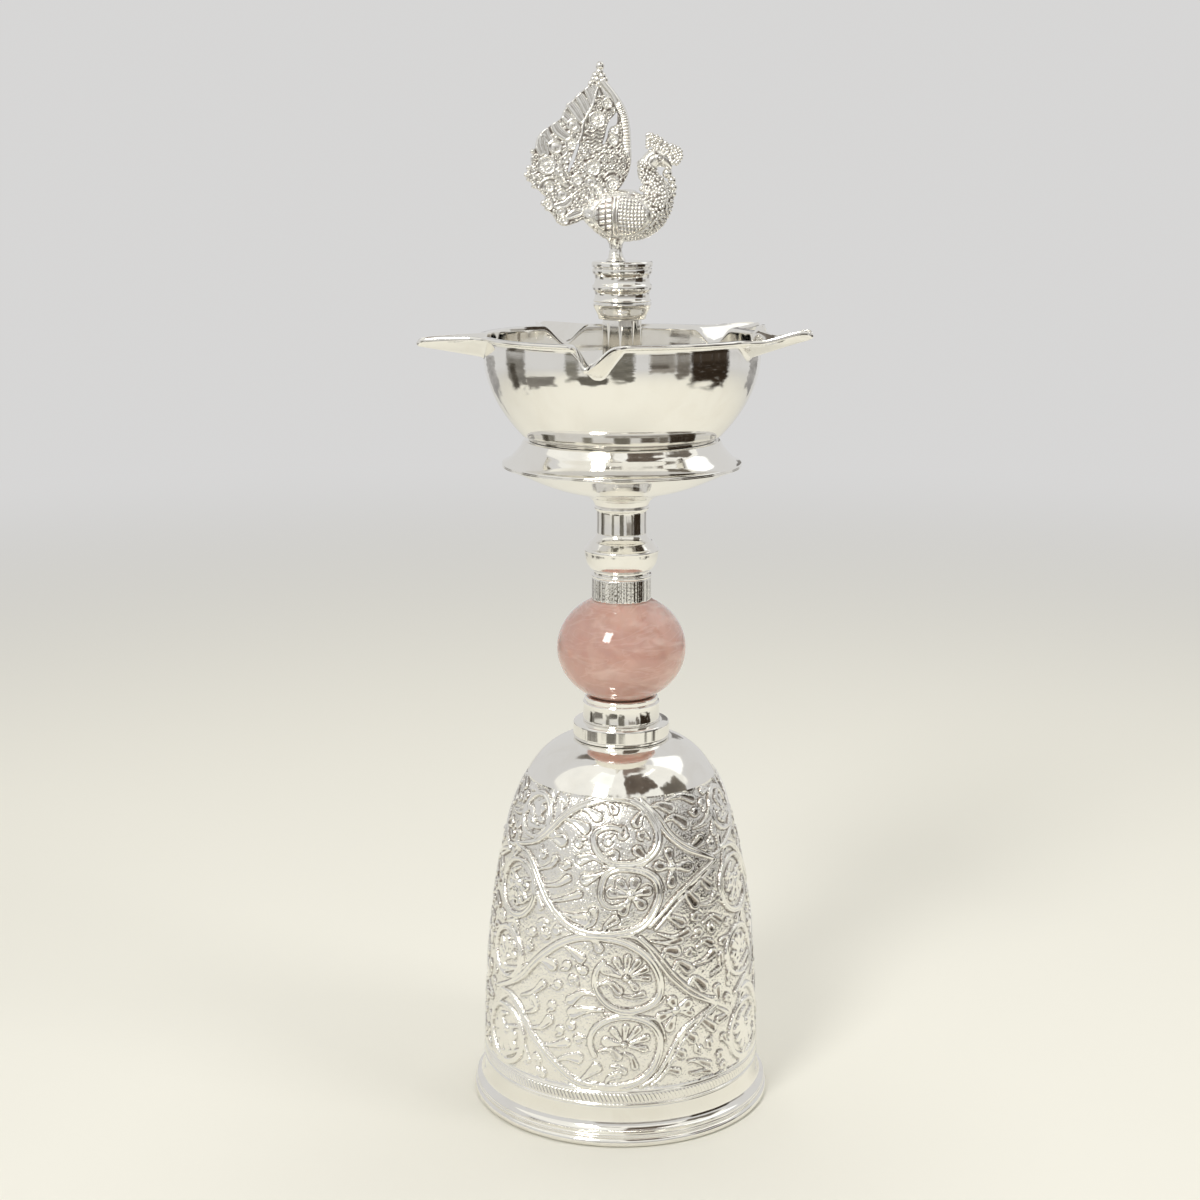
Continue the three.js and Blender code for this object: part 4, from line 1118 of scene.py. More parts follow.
STROKES = (
    Stroke(Work.STEM, 1.15, (
        (-63.5, 82.2), (-49.4, 84.9), (-41.9, 87.9), (-37.3, 91.0), (-32.7, 93.8), (-26.3, 96.5), (-16.2, 98.8),
        (-5.8, 99.8), (5.7, 99.1), (13.0, 96.7), (17.2, 93.3), (18.8, 89.7), (17.3, 86.6), (13.4, 84.1), (7.6, 82.6),
        (0.8, 82.3), (-5.1, 82.7), (-9.9, 84.3), (-13.3, 86.5), (-14.5, 88.9), (-13.3, 90.8), (-9.4, 92.0),
        (-4.2, 92.3), (-0.5, 91.5),
    )),
    Stroke(Work.STEM, 1.15, (
        (-61.2, 82.1), (-52.9, 81.4), (-46.6, 78.8), (-41.4, 75.0), (-36.0, 70.5), (-29.9, 66.7), (-23.0, 63.7),
        (-15.5, 62.4), (-6.9, 62.4), (4.2, 63.4), (10.5, 65.7), (14.6, 69.4), (17.0, 73.2), (16.1, 77.1),
        (11.3, 79.8), (3.8, 81.0), (-2.9, 80.9), (-7.5, 79.4), (-9.3, 76.6), (-9.6, 73.3), (-7.5, 70.9),
        (-3.2, 70.2), (1.6, 71.2),
    )),
    Stroke(Work.FRAME, 0.6, (
        (6.8, 99.3), (14.2, 97.5), (18.9, 93.9), (22.5, 90.3), (26.8, 87.6), (33.0, 84.7), (40.9, 82.4),
        (50.1, 79.8),
    )),
    Stroke(Work.FRAME, 0.5, (
        (11.5, 99.2), (20.1, 94.8), (25.1, 90.2), (30.7, 87.0), (39.4, 83.8), (50.1, 80.0),
    )),
    Stroke(Work.FRAME, 0.6, (
        (12.0, 64.5), (18.8, 68.6), (25.2, 72.2), (31.6, 74.7), (39.8, 77.2), (50.0, 79.6),
    )),
    Stroke(Work.FRAME, 0.5, (
        (14.7, 63.7), (21.2, 67.8), (27.7, 71.3), (34.9, 73.7), (43.2, 76.6), (50.4, 79.1),
    )),
    Stroke(Work.VEIN, 0.45, (
        (-8.9, 81.5), (0.4, 81.6), (8.8, 81.4), (13.7, 83.6), (18.2, 86.0),
    )),
    Stroke(Work.VEIN, 0.45, (
        (8.8, 81.2), (14.7, 79.5), (17.9, 77.4), (19.3, 74.3),
    )),
    Stroke(Work.STEM, 1.15, (
        (-64.4, 38.7), (-54.4, 42.0), (-46.2, 46.0), (-40.2, 50.9), (-34.0, 55.0), (-26.3, 58.9), (-18.2, 61.1),
        (-8.8, 61.5), (0.4, 60.5), (8.3, 57.4), (13.5, 53.3), (16.0, 48.6), (15.1, 43.9), (9.8, 41.1), (2.5, 40.1),
        (-4.7, 41.4), (-9.5, 44.6), (-11.4, 47.9), (-10.8, 51.6), (-7.9, 54.5),
    )),
    Stroke(Work.STEM, 1.15, (
        (-61.6, 38.7), (-54.7, 38.8), (-48.1, 36.5), (-43.8, 32.8), (-39.6, 29.3), (-34.0, 25.8), (-27.2, 21.9),
        (-20.1, 18.5), (-12.2, 17.3), (-3.2, 17.1), (5.3, 18.4), (11.5, 21.7), (14.8, 26.4), (15.6, 31.1),
        (13.0, 35.1), (7.6, 37.6), (0.3, 38.5), (-6.9, 37.1), (-11.6, 34.1), (-13.0, 30.3), (-11.2, 26.6),
    )),
    Stroke(Work.FRAME, 0.6, (
        (-7.3, 62.3), (4.2, 62.0), (10.6, 58.9), (15.5, 54.2), (20.0, 49.7), (25.4, 45.9), (31.5, 42.4),
        (42.6, 38.2),
    )),
    Stroke(Work.FRAME, 0.5, (
        (8.0, 61.6), (14.4, 57.3), (19.7, 52.4), (24.7, 48.1), (31.3, 44.0), (42.7, 38.6),
    )),
    Stroke(Work.FRAME, 0.6, (
        (7.5, 17.3), (13.6, 19.9), (18.1, 24.4), (23.4, 30.8), (29.4, 34.4), (41.9, 38.0),
    )),
    Stroke(Work.FRAME, 0.5, (
        (11.8, 17.6), (16.6, 20.2), (21.2, 24.9), (26.4, 30.2), (32.1, 33.4), (42.7, 37.4),
    )),
    Stroke(Work.VEIN, 0.45, (
        (-6.9, 39.2), (2.5, 39.4), (10.6, 40.5), (15.1, 41.8), (18.1, 43.7),
    )),
    Stroke(Work.VEIN, 0.45, (
        (7.6, 38.3), (14.2, 37.1), (17.1, 33.7), (17.9, 30.4),
    )),
)
LEAVES = (
    (-40.8, 88.7, -36.6, 87.8, -31.8, 87.4, 2.05), (-32.6, 93.2, -25.9, 92.9, -19.8, 91.5, 1.74),
    (-24.1, 96.4, -18.7, 96.3, -13.6, 94.9, 1.64), (-9.8, 98.6, -6.6, 98.1, -4.3, 96.7, 1.38),
    (-8.9, 82.3, -14.3, 83.9, -20.3, 82.9, 1.64), (-8.8, 80.0, -12.9, 78.5, -17.0, 77.5, 1.74),
    (-42.4, 77.9, -35.8, 79.8, -33.8, 82.0, 1.23), (-39.1, 73.7, -31.1, 75.0, -26.1, 77.2, 1.23),
    (-34.0, 69.8, -27.7, 71.1, -19.9, 73.2, 1.13), (-28.0, 67.2, -21.9, 66.4, -17.0, 66.3, 2.05),
    (-18.4, 63.2, -13.2, 65.4, -12.8, 68.6, 1.44), (-8.1, 63.0, -7.0, 64.8, -3.3, 66.7, 1.54),
    (15.7, 97.3, 21.1, 97.7, 27.8, 96.4, 1.74), (22.7, 93.0, 28.4, 94.0, 34.7, 91.8, 1.90),
    (30.1, 87.1, 36.8, 85.1, 42.8, 86.2, 1.90), (26.0, 98.6, 36.2, 99.0, 44.4, 97.4, 1.44),
    (40.1, 89.8, 48.9, 90.5, 57.1, 92.7, 1.74), (47.3, 81.0, 55.6, 81.8, 56.5, 85.0, 1.33),
    (33.0, 74.5, 38.3, 75.8, 43.9, 73.0, 1.54), (25.9, 71.4, 29.8, 72.7, 34.4, 69.2, 1.90),
    (19.0, 67.0, 21.9, 66.4, 26.9, 64.4, 1.54), (15.8, 62.3, 23.4, 60.6, 29.3, 61.6, 1.28),
    (37.8, 63.1, 43.3, 64.2, 48.2, 62.2, 1.28), (33.7, 56.6, 37.9, 57.7, 41.4, 56.6, 1.38),
    (16.9, 96.3, 10.8, 95.6, 8.0, 93.5, 1.64), (-12.3, 86.3, -9.0, 84.2, -4.3, 84.6, 1.85),
    (14.7, 83.9, 11.2, 84.1, 7.8, 85.9, 1.64), (-3.3, 92.4, 0.4, 92.0, 0.4, 90.4, 1.74),
    (37.7, 68.3, 43.0, 68.0, 48.2, 69.2, 1.23), (-41.1, 97.0, -50.8, 96.0, -50.7, 93.0, 1.54),
    (-39.8, 91.3, -46.6, 89.5, -54.2, 89.5, 1.33), (-44.8, 74.4, -52.1, 73.2, -56.9, 70.2, 1.54),
    (-44.6, 69.8, -50.3, 67.2, -57.0, 66.5, 1.23), (-40.3, 51.2, -35.9, 52.4, -30.9, 51.7, 1.85),
    (-26.8, 58.5, -22.0, 57.0, -17.8, 55.1, 1.64), (-15.8, 61.3, -11.8, 60.4, -9.9, 58.4, 1.44),
    (-7.6, 40.2, -14.3, 40.1, -20.4, 38.7, 1.85), (-11.4, 44.7, -16.7, 44.9, -21.6, 42.3, 1.54),
    (-46.7, 39.8, -39.5, 42.3, -35.0, 45.3, 1.33), (-44.1, 34.9, -38.2, 37.2, -39.4, 40.2, 1.44),
    (-40.9, 31.2, -35.1, 32.3, -31.2, 35.2, 1.54), (-34.1, 27.1, -28.2, 28.0, -23.3, 29.3, 1.44),
    (-28.0, 23.1, -23.2, 24.9, -18.2, 25.2, 1.74), (-17.0, 18.5, -14.0, 20.4, -10.4, 22.8, 1.64),
    (-6.8, 17.9, -5.4, 19.8, -1.8, 21.1, 1.23), (17.0, 54.1, 18.7, 57.1, 23.2, 56.6, 1.85),
    (21.6, 50.2, 24.1, 53.1, 28.7, 51.0, 1.64), (27.9, 45.0, 31.4, 47.5, 36.2, 44.5, 1.85),
    (34.7, 42.1, 43.4, 39.4, 44.0, 42.3, 1.64), (12.6, 60.3, 20.5, 59.2, 25.5, 59.7, 1.33),
    (31.7, 51.7, 38.3, 52.2, 42.6, 53.6, 1.44), (40.8, 47.5, 46.4, 48.6, 46.8, 51.7, 1.23),
    (31.6, 33.5, 34.3, 34.7, 40.4, 31.3, 1.64), (24.0, 28.7, 25.7, 31.7, 30.3, 29.6, 1.74),
    (19.3, 23.7, 20.8, 26.9, 25.2, 25.6, 1.44), (28.0, 23.1, 32.3, 22.4, 38.1, 20.2, 1.33),
    (15.5, 19.2, 18.5, 21.4, 23.1, 20.5, 1.23), (28.8, 19.2, 33.9, 18.8, 38.5, 18.2, 1.03),
    (41.2, 37.7, 49.6, 33.7, 43.9, 32.8, 1.23), (-49.7, 53.3, -57.5, 52.7, -61.7, 49.0, 1.54),
    (-46.4, 48.6, -53.5, 46.5, -60.9, 44.8, 1.23), (-45.9, 30.1, -53.2, 28.4, -58.7, 24.1, 1.54),
    (-44.6, 23.8, -51.6, 21.0, -58.4, 19.1, 1.23), (-10.2, 47.6, -5.4, 48.6, -1.4, 46.2, 1.35),
    (0.4, 44.8, 4.0, 44.4, 8.4, 45.0, 1.05), (-9.6, 28.0, -5.2, 28.8, -1.6, 26.6, 1.3),
    (1.0, 27.6, 3.8, 26.4, 5.2, 23.6, 1.15), (-4.4, 23.6, -1.6, 23.4, 0.8, 22.0, 0.95),
)
FLOWERS = (
    Flower((24.4, 80.7), 1.28, (
        (23.5, 84.6, 1.54), (17.7, 81.3, 1.64), (32.8, 80.1, 1.74), (23.5, 76.2, 1.64),
    )),
    Flower((4.0, 73.6), 1.23, (
        (-4.7, 74.3, 1.74), (-0.8, 77.0, 1.54), (6.1, 77.3, 1.64), (11.6, 74.7, 1.54), (8.7, 70.9, 1.64),
        (0.4, 69.2, 1.54),
    )),
    Flower((22.7, 39.3), 1.13, (
        (21.1, 42.1, 1.64), (28.1, 40.5, 1.74), (16.1, 37.8, 1.54), (29.2, 37.6, 1.23), (19.8, 34.5, 1.64),
    )),
    Flower((1.5, 49.9), 1.0, (
        (-6.9, 52.4, 1.6), (-2.4, 54.9, 1.2), (2.4, 55.8, 1.15), (6.8, 54.6, 1.1), (10.0, 52.4, 1.05),
        (10.9, 49.6, 0.95), (5.6, 47.0, 1.1),
    )),
    Flower((0.8, 30.2), 0.95, (
        (-6.4, 31.0, 1.5), (-3.6, 34.4, 1.1), (1.6, 35.5, 1.0), (6.6, 34.9, 1.1), (9.9, 32.0, 1.1), (9.2, 28.6, 1.0),
    )),
)
MEDALLIONS = (
    Medallion((-52.5, 92.2), 6.1, -95.0, 560.0, 5),
    Medallion((-56.0, 70.6), 8.3, 95.0, -560.0, 6),
    Medallion((-58.5, 50.6), 7.4, -80.0, 545.0, 6),
    Medallion((-57.0, 26.0), 8.8, 85.0, -560.0, 7),
)


class Relief:
    """Heights worked into one third of the bell's wall, as a field of steps up by degrees round."""

    def __init__(self, degrees: np.ndarray, heights: np.ndarray, along: np.ndarray, radii: np.ndarray) -> None:
        """Starts with a flat ground.

        Args:
            degrees: How far round each column is.
            heights: How high each row is.
            along: How far each row is up the wall's surface, in mm.
            radii: The wall's radius at each row.
        """
        self.degrees, self.heights, self.along = degrees, heights, along
        self.per_degree = np.radians(radii)[:, None]
        self.worked = np.zeros((len(heights), len(degrees)))
        self.clear = np.full_like(self.worked, BARE)
        self.pool = np.zeros_like(self.worked)

    def nearest(self, line: Sequence[Point], margin: float) -> tuple[Area, np.ndarray, np.ndarray]:
        """Measures how far the ground is from a line.

        Args:
            line: The line's (degrees, height) places.
            margin: How far above and below it to look.

        Returns:
            The rows that were looked at, the distance in mm, and the share of the line's length at its nearest point.
        """
        levels = [height for _, height in line]
        first, last = np.searchsorted(self.heights, (min(levels) - margin, max(levels) + margin))
        rows = slice(first, max(last, first + 1))
        scale, level = self.per_degree[rows], self.along[rows][:, None]
        least = np.full((scale.shape[0], len(self.degrees)), NOWHERE)
        share = np.zeros_like(least)
        rise = np.interp(levels, self.heights, self.along)
        for index, (start, end) in enumerate(zip(line, line[1:])):
            ax = ((start[0] - self.degrees[None, :] + 60.0) % 120.0 - 60.0) * scale
            ay = rise[index] - level
            dx, dy = (end[0] - start[0]) * scale, rise[index + 1] - rise[index]
            t = unit(-(ax * dx + ay * dy) / (dx * dx + dy * dy + 1e-9))
            away = np.hypot(ax + t * dx, ay + t * dy)
            nearer = away < least
            least[nearer] = away[nearer]
            share[nearer] = ((index + t) / (len(line) - 1))[nearer]
        return rows, least, share

    def near_point(self, place: Point, margin: float) -> tuple[Area, np.ndarray]:
        """Measures how far the ground is from a point, which it takes for a very short line."""
        rows, away, _ = self.nearest((place, (place[0] + 0.01, place[1])), margin)
        return rows, away

    def press(self, rows: Area, away: np.ndarray, half: Values, height: Values, full: Values = 0.55) -> None:
        """Raises a rounded ridge, unless what is there is higher."""
        self.worked[rows] = np.maximum(self.worked[rows], height * dome(away / half, full))
        self.clear[rows] = np.minimum(self.clear[rows], away - half)

    def _let_lie(self, rows: Area, away: np.ndarray, share: np.ndarray) -> None:
        """Lets patina, and painted dark reflection, lie in the hollow of a leaf or a petal, of which away is 1 at the
        hollow's edge.
        """
        self.pool[rows] = np.maximum(self.pool[rows], unit(1.4 - 1.4 * away**2) * unit((share - 0.4) * 5.0))

    def stroke(self, stroke: Stroke) -> None:
        """Raises a stem, a frame line or a vein."""
        rows, away, share = self.nearest(spline(stroke.places, 3 * len(stroke.places)), 3.0)
        if stroke.work is Work.STEM:
            half = stroke.half * unit(0.45 + share * 5.0) * unit(1.32 - share * 0.62)
            groove = 0.4 * swell(away, 0.3) * unit((half - 0.5) / 0.5)
            self.press(rows, away, half, 0.8 - groove, 0.38)
        elif stroke.work is Work.FRAME:
            self.press(rows, away, stroke.half, 0.62)
        else:
            self.press(rows, away, stroke.half * (1.1 - 0.6 * share), 0.34)

    def leaf(self, tail: Point, middle: Point, bulb: Point, radius: float, height: float = 0.8) -> None:
        """Raises a comma leaf that swells from its tail to a round bulb."""
        rows, away, share = self.nearest(spline((tail, middle, bulb), 8), 3.5)
        half = 0.3 + (radius - 0.3) * share**1.25
        hollow = 0.5 * dome(away / (0.8 * half), 1) * unit((share - 0.3) * 2.5)
        self.press(rows, away, half, height * (0.5 + 0.5 * share) - hollow, 0.33)
        self._let_lie(rows, away / (0.62 * half), share)

    def flower(self, flower: Flower) -> None:
        """Raises a rosette of petals round a ball."""
        centre = flower.centre
        for degrees, height, radius in flower.petals:
            start = (centre[0] + (degrees - centre[0]) * 0.3, centre[1] + (height - centre[1]) * 0.3)
            rows, away, share = self.nearest((start, (degrees, height)), 3.5)
            half = radius * (0.5 + 0.5 * share)
            hollow = 0.3 * dome(away / (0.75 * half), 1) * unit((share - 0.35) * 2.5)
            self.press(rows, away, half, 0.7 * (0.7 + 0.3 * share) - hollow, 0.4)
            self._let_lie(rows, away / (0.6 * half), share)
        rows, away = self.near_point(centre, 3.5)
        self.worked[rows][np.abs(away - flower.ball) < 0.28] *= 0.35
        self.press(rows, away, flower.ball, 1.02)

    def medallion(self, shape: Medallion) -> None:
        """Raises a ring of stem that curls in, with a rosette at its middle and small leaves between."""
        scale = float(np.interp(shape.centre[1], self.heights, self.per_degree[:, 0]))
        side = math.copysign(1.0, shape.sweep)

        def around(angle: float, share: float, beyond: float = 0.0) -> Point:
            turn, out = math.radians(shape.start + angle), shape.radius * share + beyond
            return shape.centre[0] + out * math.cos(turn) / scale, shape.centre[1] + out * math.sin(turn) * 0.98

        steps = np.linspace(0.0, 1.0, 30)
        coil = [around(shape.sweep * 0.66 * step, 1.0 - 0.02 * step) for step in steps]
        self.stroke(Stroke(Work.STEM, 0.95, tuple(coil)))
        petals = []
        for index in range(shape.petals):
            angle = side * (80.0 + 235.0 * index / (shape.petals - 1))
            petals.append((*around(angle, 0.5 + 0.06 * (index % 2)), 0.17 * shape.radius))
        self.flower(Flower(around(30.0 * side, 0.22), 0.13 * shape.radius, tuple(petals)))
        curl = [around(side * turn, out) for turn, out in ((6.0, 0.72), (-30.0, 0.6), (-62.0, 0.36))]
        self.leaf(*curl, 0.19 * shape.radius)
        for angle in range(40, 360, 80):
            bulb = [around(angle + side * turn, 1.0, out) for turn, out in ((0.0, 0.0), (20.0, 1.6), (30.0, 3.0))]
            self.leaf(*bulb, 1.3, 0.75)

    def fill(self, least: float, most: int) -> None:
        """Puts small buds where the ground is bare.

        Args:
            least: How far in mm a place has to be from any raised work.
            most: How many buds there may be.
        """
        edge = (self.heights[:, None] > 18.2) & (self.heights[:, None] < 98.4)
        for index in range(most):
            room = np.where(edge, self.clear, 0.0)
            row, column = np.unravel_index(np.argmax(room), room.shape)
            gap = room[row, column]
            if gap < least:
                break
            x, z = self.degrees[column], self.heights[row]
            turn, span, scale = 2.4 * index, min(gap * 0.9, 2.4), self.per_degree[row, 0]
            tail = (x - span * math.cos(turn) / scale, z - span * math.sin(turn))
            middle = (x - 0.4 * span * math.cos(turn + 0.7) / scale, z - 0.4 * span * math.sin(turn + 0.7))
            self.leaf(tail, middle, (x, z), min(gap * 0.6, 1.5))

    def above_ground(self) -> np.ndarray:
        """Gives every point's height, with the ground sunk a little beside the raised work."""
        return self.worked - 0.2 * swell(self.clear, 0.5) * (self.clear > 0)


@dataclass
class Bell:
    """The repoussé bell: a roped border, three rings of chased work and a plain crown."""

    workshop: Workshop
    bottom: float = 10.3
    height: float = 100.3
    radius: float = 41.5
    top_radius: float = 14.9
    power: float = 0.26
    wall: float = 0.9
    border_top: float = 16.3
    chased_top: float = 100.0
    ground: float = -0.34
    strokes_round: int = 216

    def radius_at(self, height: Values) -> np.ndarray:
        """Gives the wall's outer radius at a height."""
        last = math.sqrt(1.0 - (self.top_radius / self.radius) ** (1.0 / self.power))
        share = unit((np.asarray(height) - self.bottom) / self.height) * last
        return self.radius * (1.0 - share**2) ** self.power

    def _wall(
        self, name: str, rows: slice, heights: np.ndarray, raised: np.ndarray, mask: np.ndarray, inner: int
    ) -> None:
        """Rolls one ring of the wall, closed by its plain inner side, and hands it in.

        Args:
            name: The piece's name.
            rows: The ring's rows.
            heights: Every row's height.
            raised: Every point's height above the plain wall.
            mask: How bright each point is rubbed, from 1 down to -0.8. On the chased rings it also carries painted dark
                reflection.
            inner: The number of rows inside.
        """
        turn = np.radians(np.linspace(0.0, 360.0, raised.shape[1], endpoint=False) - 90.0)
        radii = self.radius_at(heights)
        slope = np.gradient(radii, heights)
        lean = 1.0 / np.hypot(1.0, slope)
        level = heights[:, None] - raised * (slope * lean)[:, None]
        level[0], level[-1] = heights[0], heights[-1]
        outer = swept(radii[:, None] + raised * lean[:, None], turn, level)
        around = np.roll(outer, -1, axis=1) - np.roll(outer, 1, axis=1)
        facing = np.cross(around, np.gradient(outer, axis=0))
        first, *_, last = heights[rows]
        inside = np.linspace(last, first, inner)[:, None]
        back = self.radius_at(inside) - self.wall
        inward = swept(np.full_like(back, -1.0), turn, -0.2)
        normals = np.concatenate([facing[rows], inward])
        normals /= np.linalg.norm(normals, axis=2, keepdims=True)
        bright = np.concatenate([mask[rows], np.ones(inward.shape[:2])])
        mesh = rolled(np.concatenate([outer[rows], swept(back, turn, inside)]), True, normals, bright)
        self.workshop.deliver(mesh, Label(name, "base_bell", slot=Slot.CHASED))

    def border(self) -> None:
        """Rolls the border: a band of slanting strokes between fine lines."""
        columns, rows = 1080, 44
        heights = np.linspace(self.bottom, self.border_top, rows)
        along = heights[:, None]
        turn = np.linspace(0.0, 360.0, columns, endpoint=False) / 360.0
        slant = (turn * self.strokes_round + (along - 12.0) / 2.6) % 1.0
        band = unit(np.minimum(along - 12.3, 15.2 - along) / 0.35)
        rope = unit(0.5 - 0.5 * np.cos(2 * np.pi * slant)) ** 0.7
        lines = swell(along - 11.75, 0.2) + swell(along - 15.65, 0.2)
        grooves = swell(along - 12.15, 0.14) + swell(along - 15.3, 0.14) + 0.6 * swell(along - 11.3, 0.16)
        raised = 0.3 * lines - 0.24 * grooves + band * (0.42 * rope - 0.16)
        raised[[0, -1]] = 0.0
        mask = unit(0.3 + raised) * band + (1.0 - band) * 0.9
        self._wall("bell_border", slice(0, rows), heights, raised, mask, 3)

    def chasing(self) -> None:
        """Works the scrolls, leaves, rosettes and medallions into the wall, and rolls it in three rings."""
        third, ring = 300, 100
        steps = np.linspace(self.border_top, self.chased_top, 2000)
        run = np.concatenate([[0.0], np.cumsum(np.hypot(np.diff(steps), np.diff(self.radius_at(steps))))])
        heights = np.interp(np.linspace(0.0, run[-1], 3 * ring + 1), run, steps)
        along = np.interp(heights, steps, run)
        relief = Relief(np.linspace(-60.0, 60.0, third, endpoint=False), heights, along, self.radius_at(heights))
        for stroke in STROKES:
            relief.stroke(stroke)
        for leaf in LEAVES:
            relief.leaf(leaf[0:2], leaf[2:4], leaf[4:6], leaf[6])
        for flower in FLOWERS:
            relief.flower(flower)
        for shape in MEDALLIONS:
            relief.medallion(shape)
        relief.fill(1.75, 34)
        work = relief.above_ground()
        grain = np.random.default_rng(5).normal(size=work.shape)
        grain = (grain + np.roll(grain, 1, 0) + np.roll(grain, 1, 1) + np.roll(grain, (1, 1), (0, 1))) / 4.0
        punched = 0.065 * grain * (relief.worked < 0.05)
        near_edge = unit(np.minimum(heights - self.border_top, self.chased_top - heights) / 0.7)[:, None]
        raised = (self.ground + work + punched) * near_edge
        mask = self._rubbed_and_painted_dark(relief) * near_edge + (1.0 - near_edge)
        raised, mask = (np.roll(np.tile(values, (1, 3)), -(third // 2), axis=1) for values in (raised, mask))
        for index, name in enumerate(("low", "middle", "high")):
            rows = slice(index * ring, (index + 1) * ring + 1)
            self._wall(f"bell_chasing_{name}", rows, heights, raised, mask, 6)

    def _rubbed_and_painted_dark(self, relief: Relief) -> np.ndarray:
        """Gives how bright each point is rubbed, with patina beside the raised work and in the hollows. The dark is
        kept deeper high up. Right of the middle of each third it is deepened further as painted dark reflection.
        """
        beside = swell(np.maximum(relief.clear, 0.0), 0.34) * (relief.clear > -0.12)
        # Painted dark reflection: the patina beside the work is deepened right of the middle of each third.
        painted_dark_side = unit((relief.degrees + 28.0) / 34.0) * unit((60.0 - relief.degrees) / 14.0)
        kept = (0.66 + 0.34 * painted_dark_side[None, :]) * (0.65 + 0.35 * unit((relief.heights - 22.0) / 45.0)[:, None])
        bright = unit(relief.worked / 0.5) * (relief.clear < -0.12)
        # Painted dark reflection: the hollows of leaves and petals darken only right of the middle of each third.
        return bright - beside * kept - 1.9 * relief.pool * kept * painted_dark_side

    def crown(self) -> None:
        """Turns the plain polished dome above the chased work."""
        top = self.bottom + self.height
        heights = self.chased_top + (top - self.chased_top) * np.linspace(0.0, 1.0, 30) ** 0.8
        outside = [Corner(float(self.radius_at(z)), float(z)) for z in heights[:-1]]
        inside = [Corner(float(self.radius_at(z)) - self.wall * 1.1, float(z) - 0.12) for z in heights[-4:2:-4]]
        corners = [
            Corner(float(self.radius_at(self.chased_top)) - self.wall, self.chased_top),
            *outside,
            Corner(self.top_radius + 0.3, top - 0.1, 0.15),
            Corner(BORE, top, 0.05),
            Corner(BORE, top - self.wall, 0.05),
            Corner(self.top_radius - 0.9, top - self.wall - 0.1, 0.1),
            *inside,
        ]
        self.workshop.deliver(turned(corners, LARGE), Label("bell_crown", "base_bell"))

    def build(self) -> None:
        """Makes every piece of the bell."""
        self.border()
        self.chasing()
        self.crown()


@dataclass(frozen=True)
class Spout:
    """A pinched spout.

    It has its heading in degrees from the front, how far its tip droops, its depth, and how its far edge lifts.
    """

    heading: float
    tip_drop: float
    trough: float = 5.2
    lift: float = 0.0


def rounded_at(line: np.ndarray, index: int, reach: float) -> np.ndarray:
    """Rounds a line off at one of its points.

    Args:
        line: The line's points.
        index: The point to round off.
        reach: How far from it the rounding starts and ends.

    Returns:
        The line, with as many points as before.
    """
    run = run_along(line)
    place = run[index]
    reach = min(reach, place, run[-1] - place)
    start, end = sampled(line, place + np.array([-reach, reach]))
    t = unit((run - place + reach) / (2 * reach))[:, None]
    bent = (1 - t) ** 2 * start + 2 * t * (1 - t) * line[index] + t**2 * end
    return np.where((t > 0) & (t < 1), bent, line)


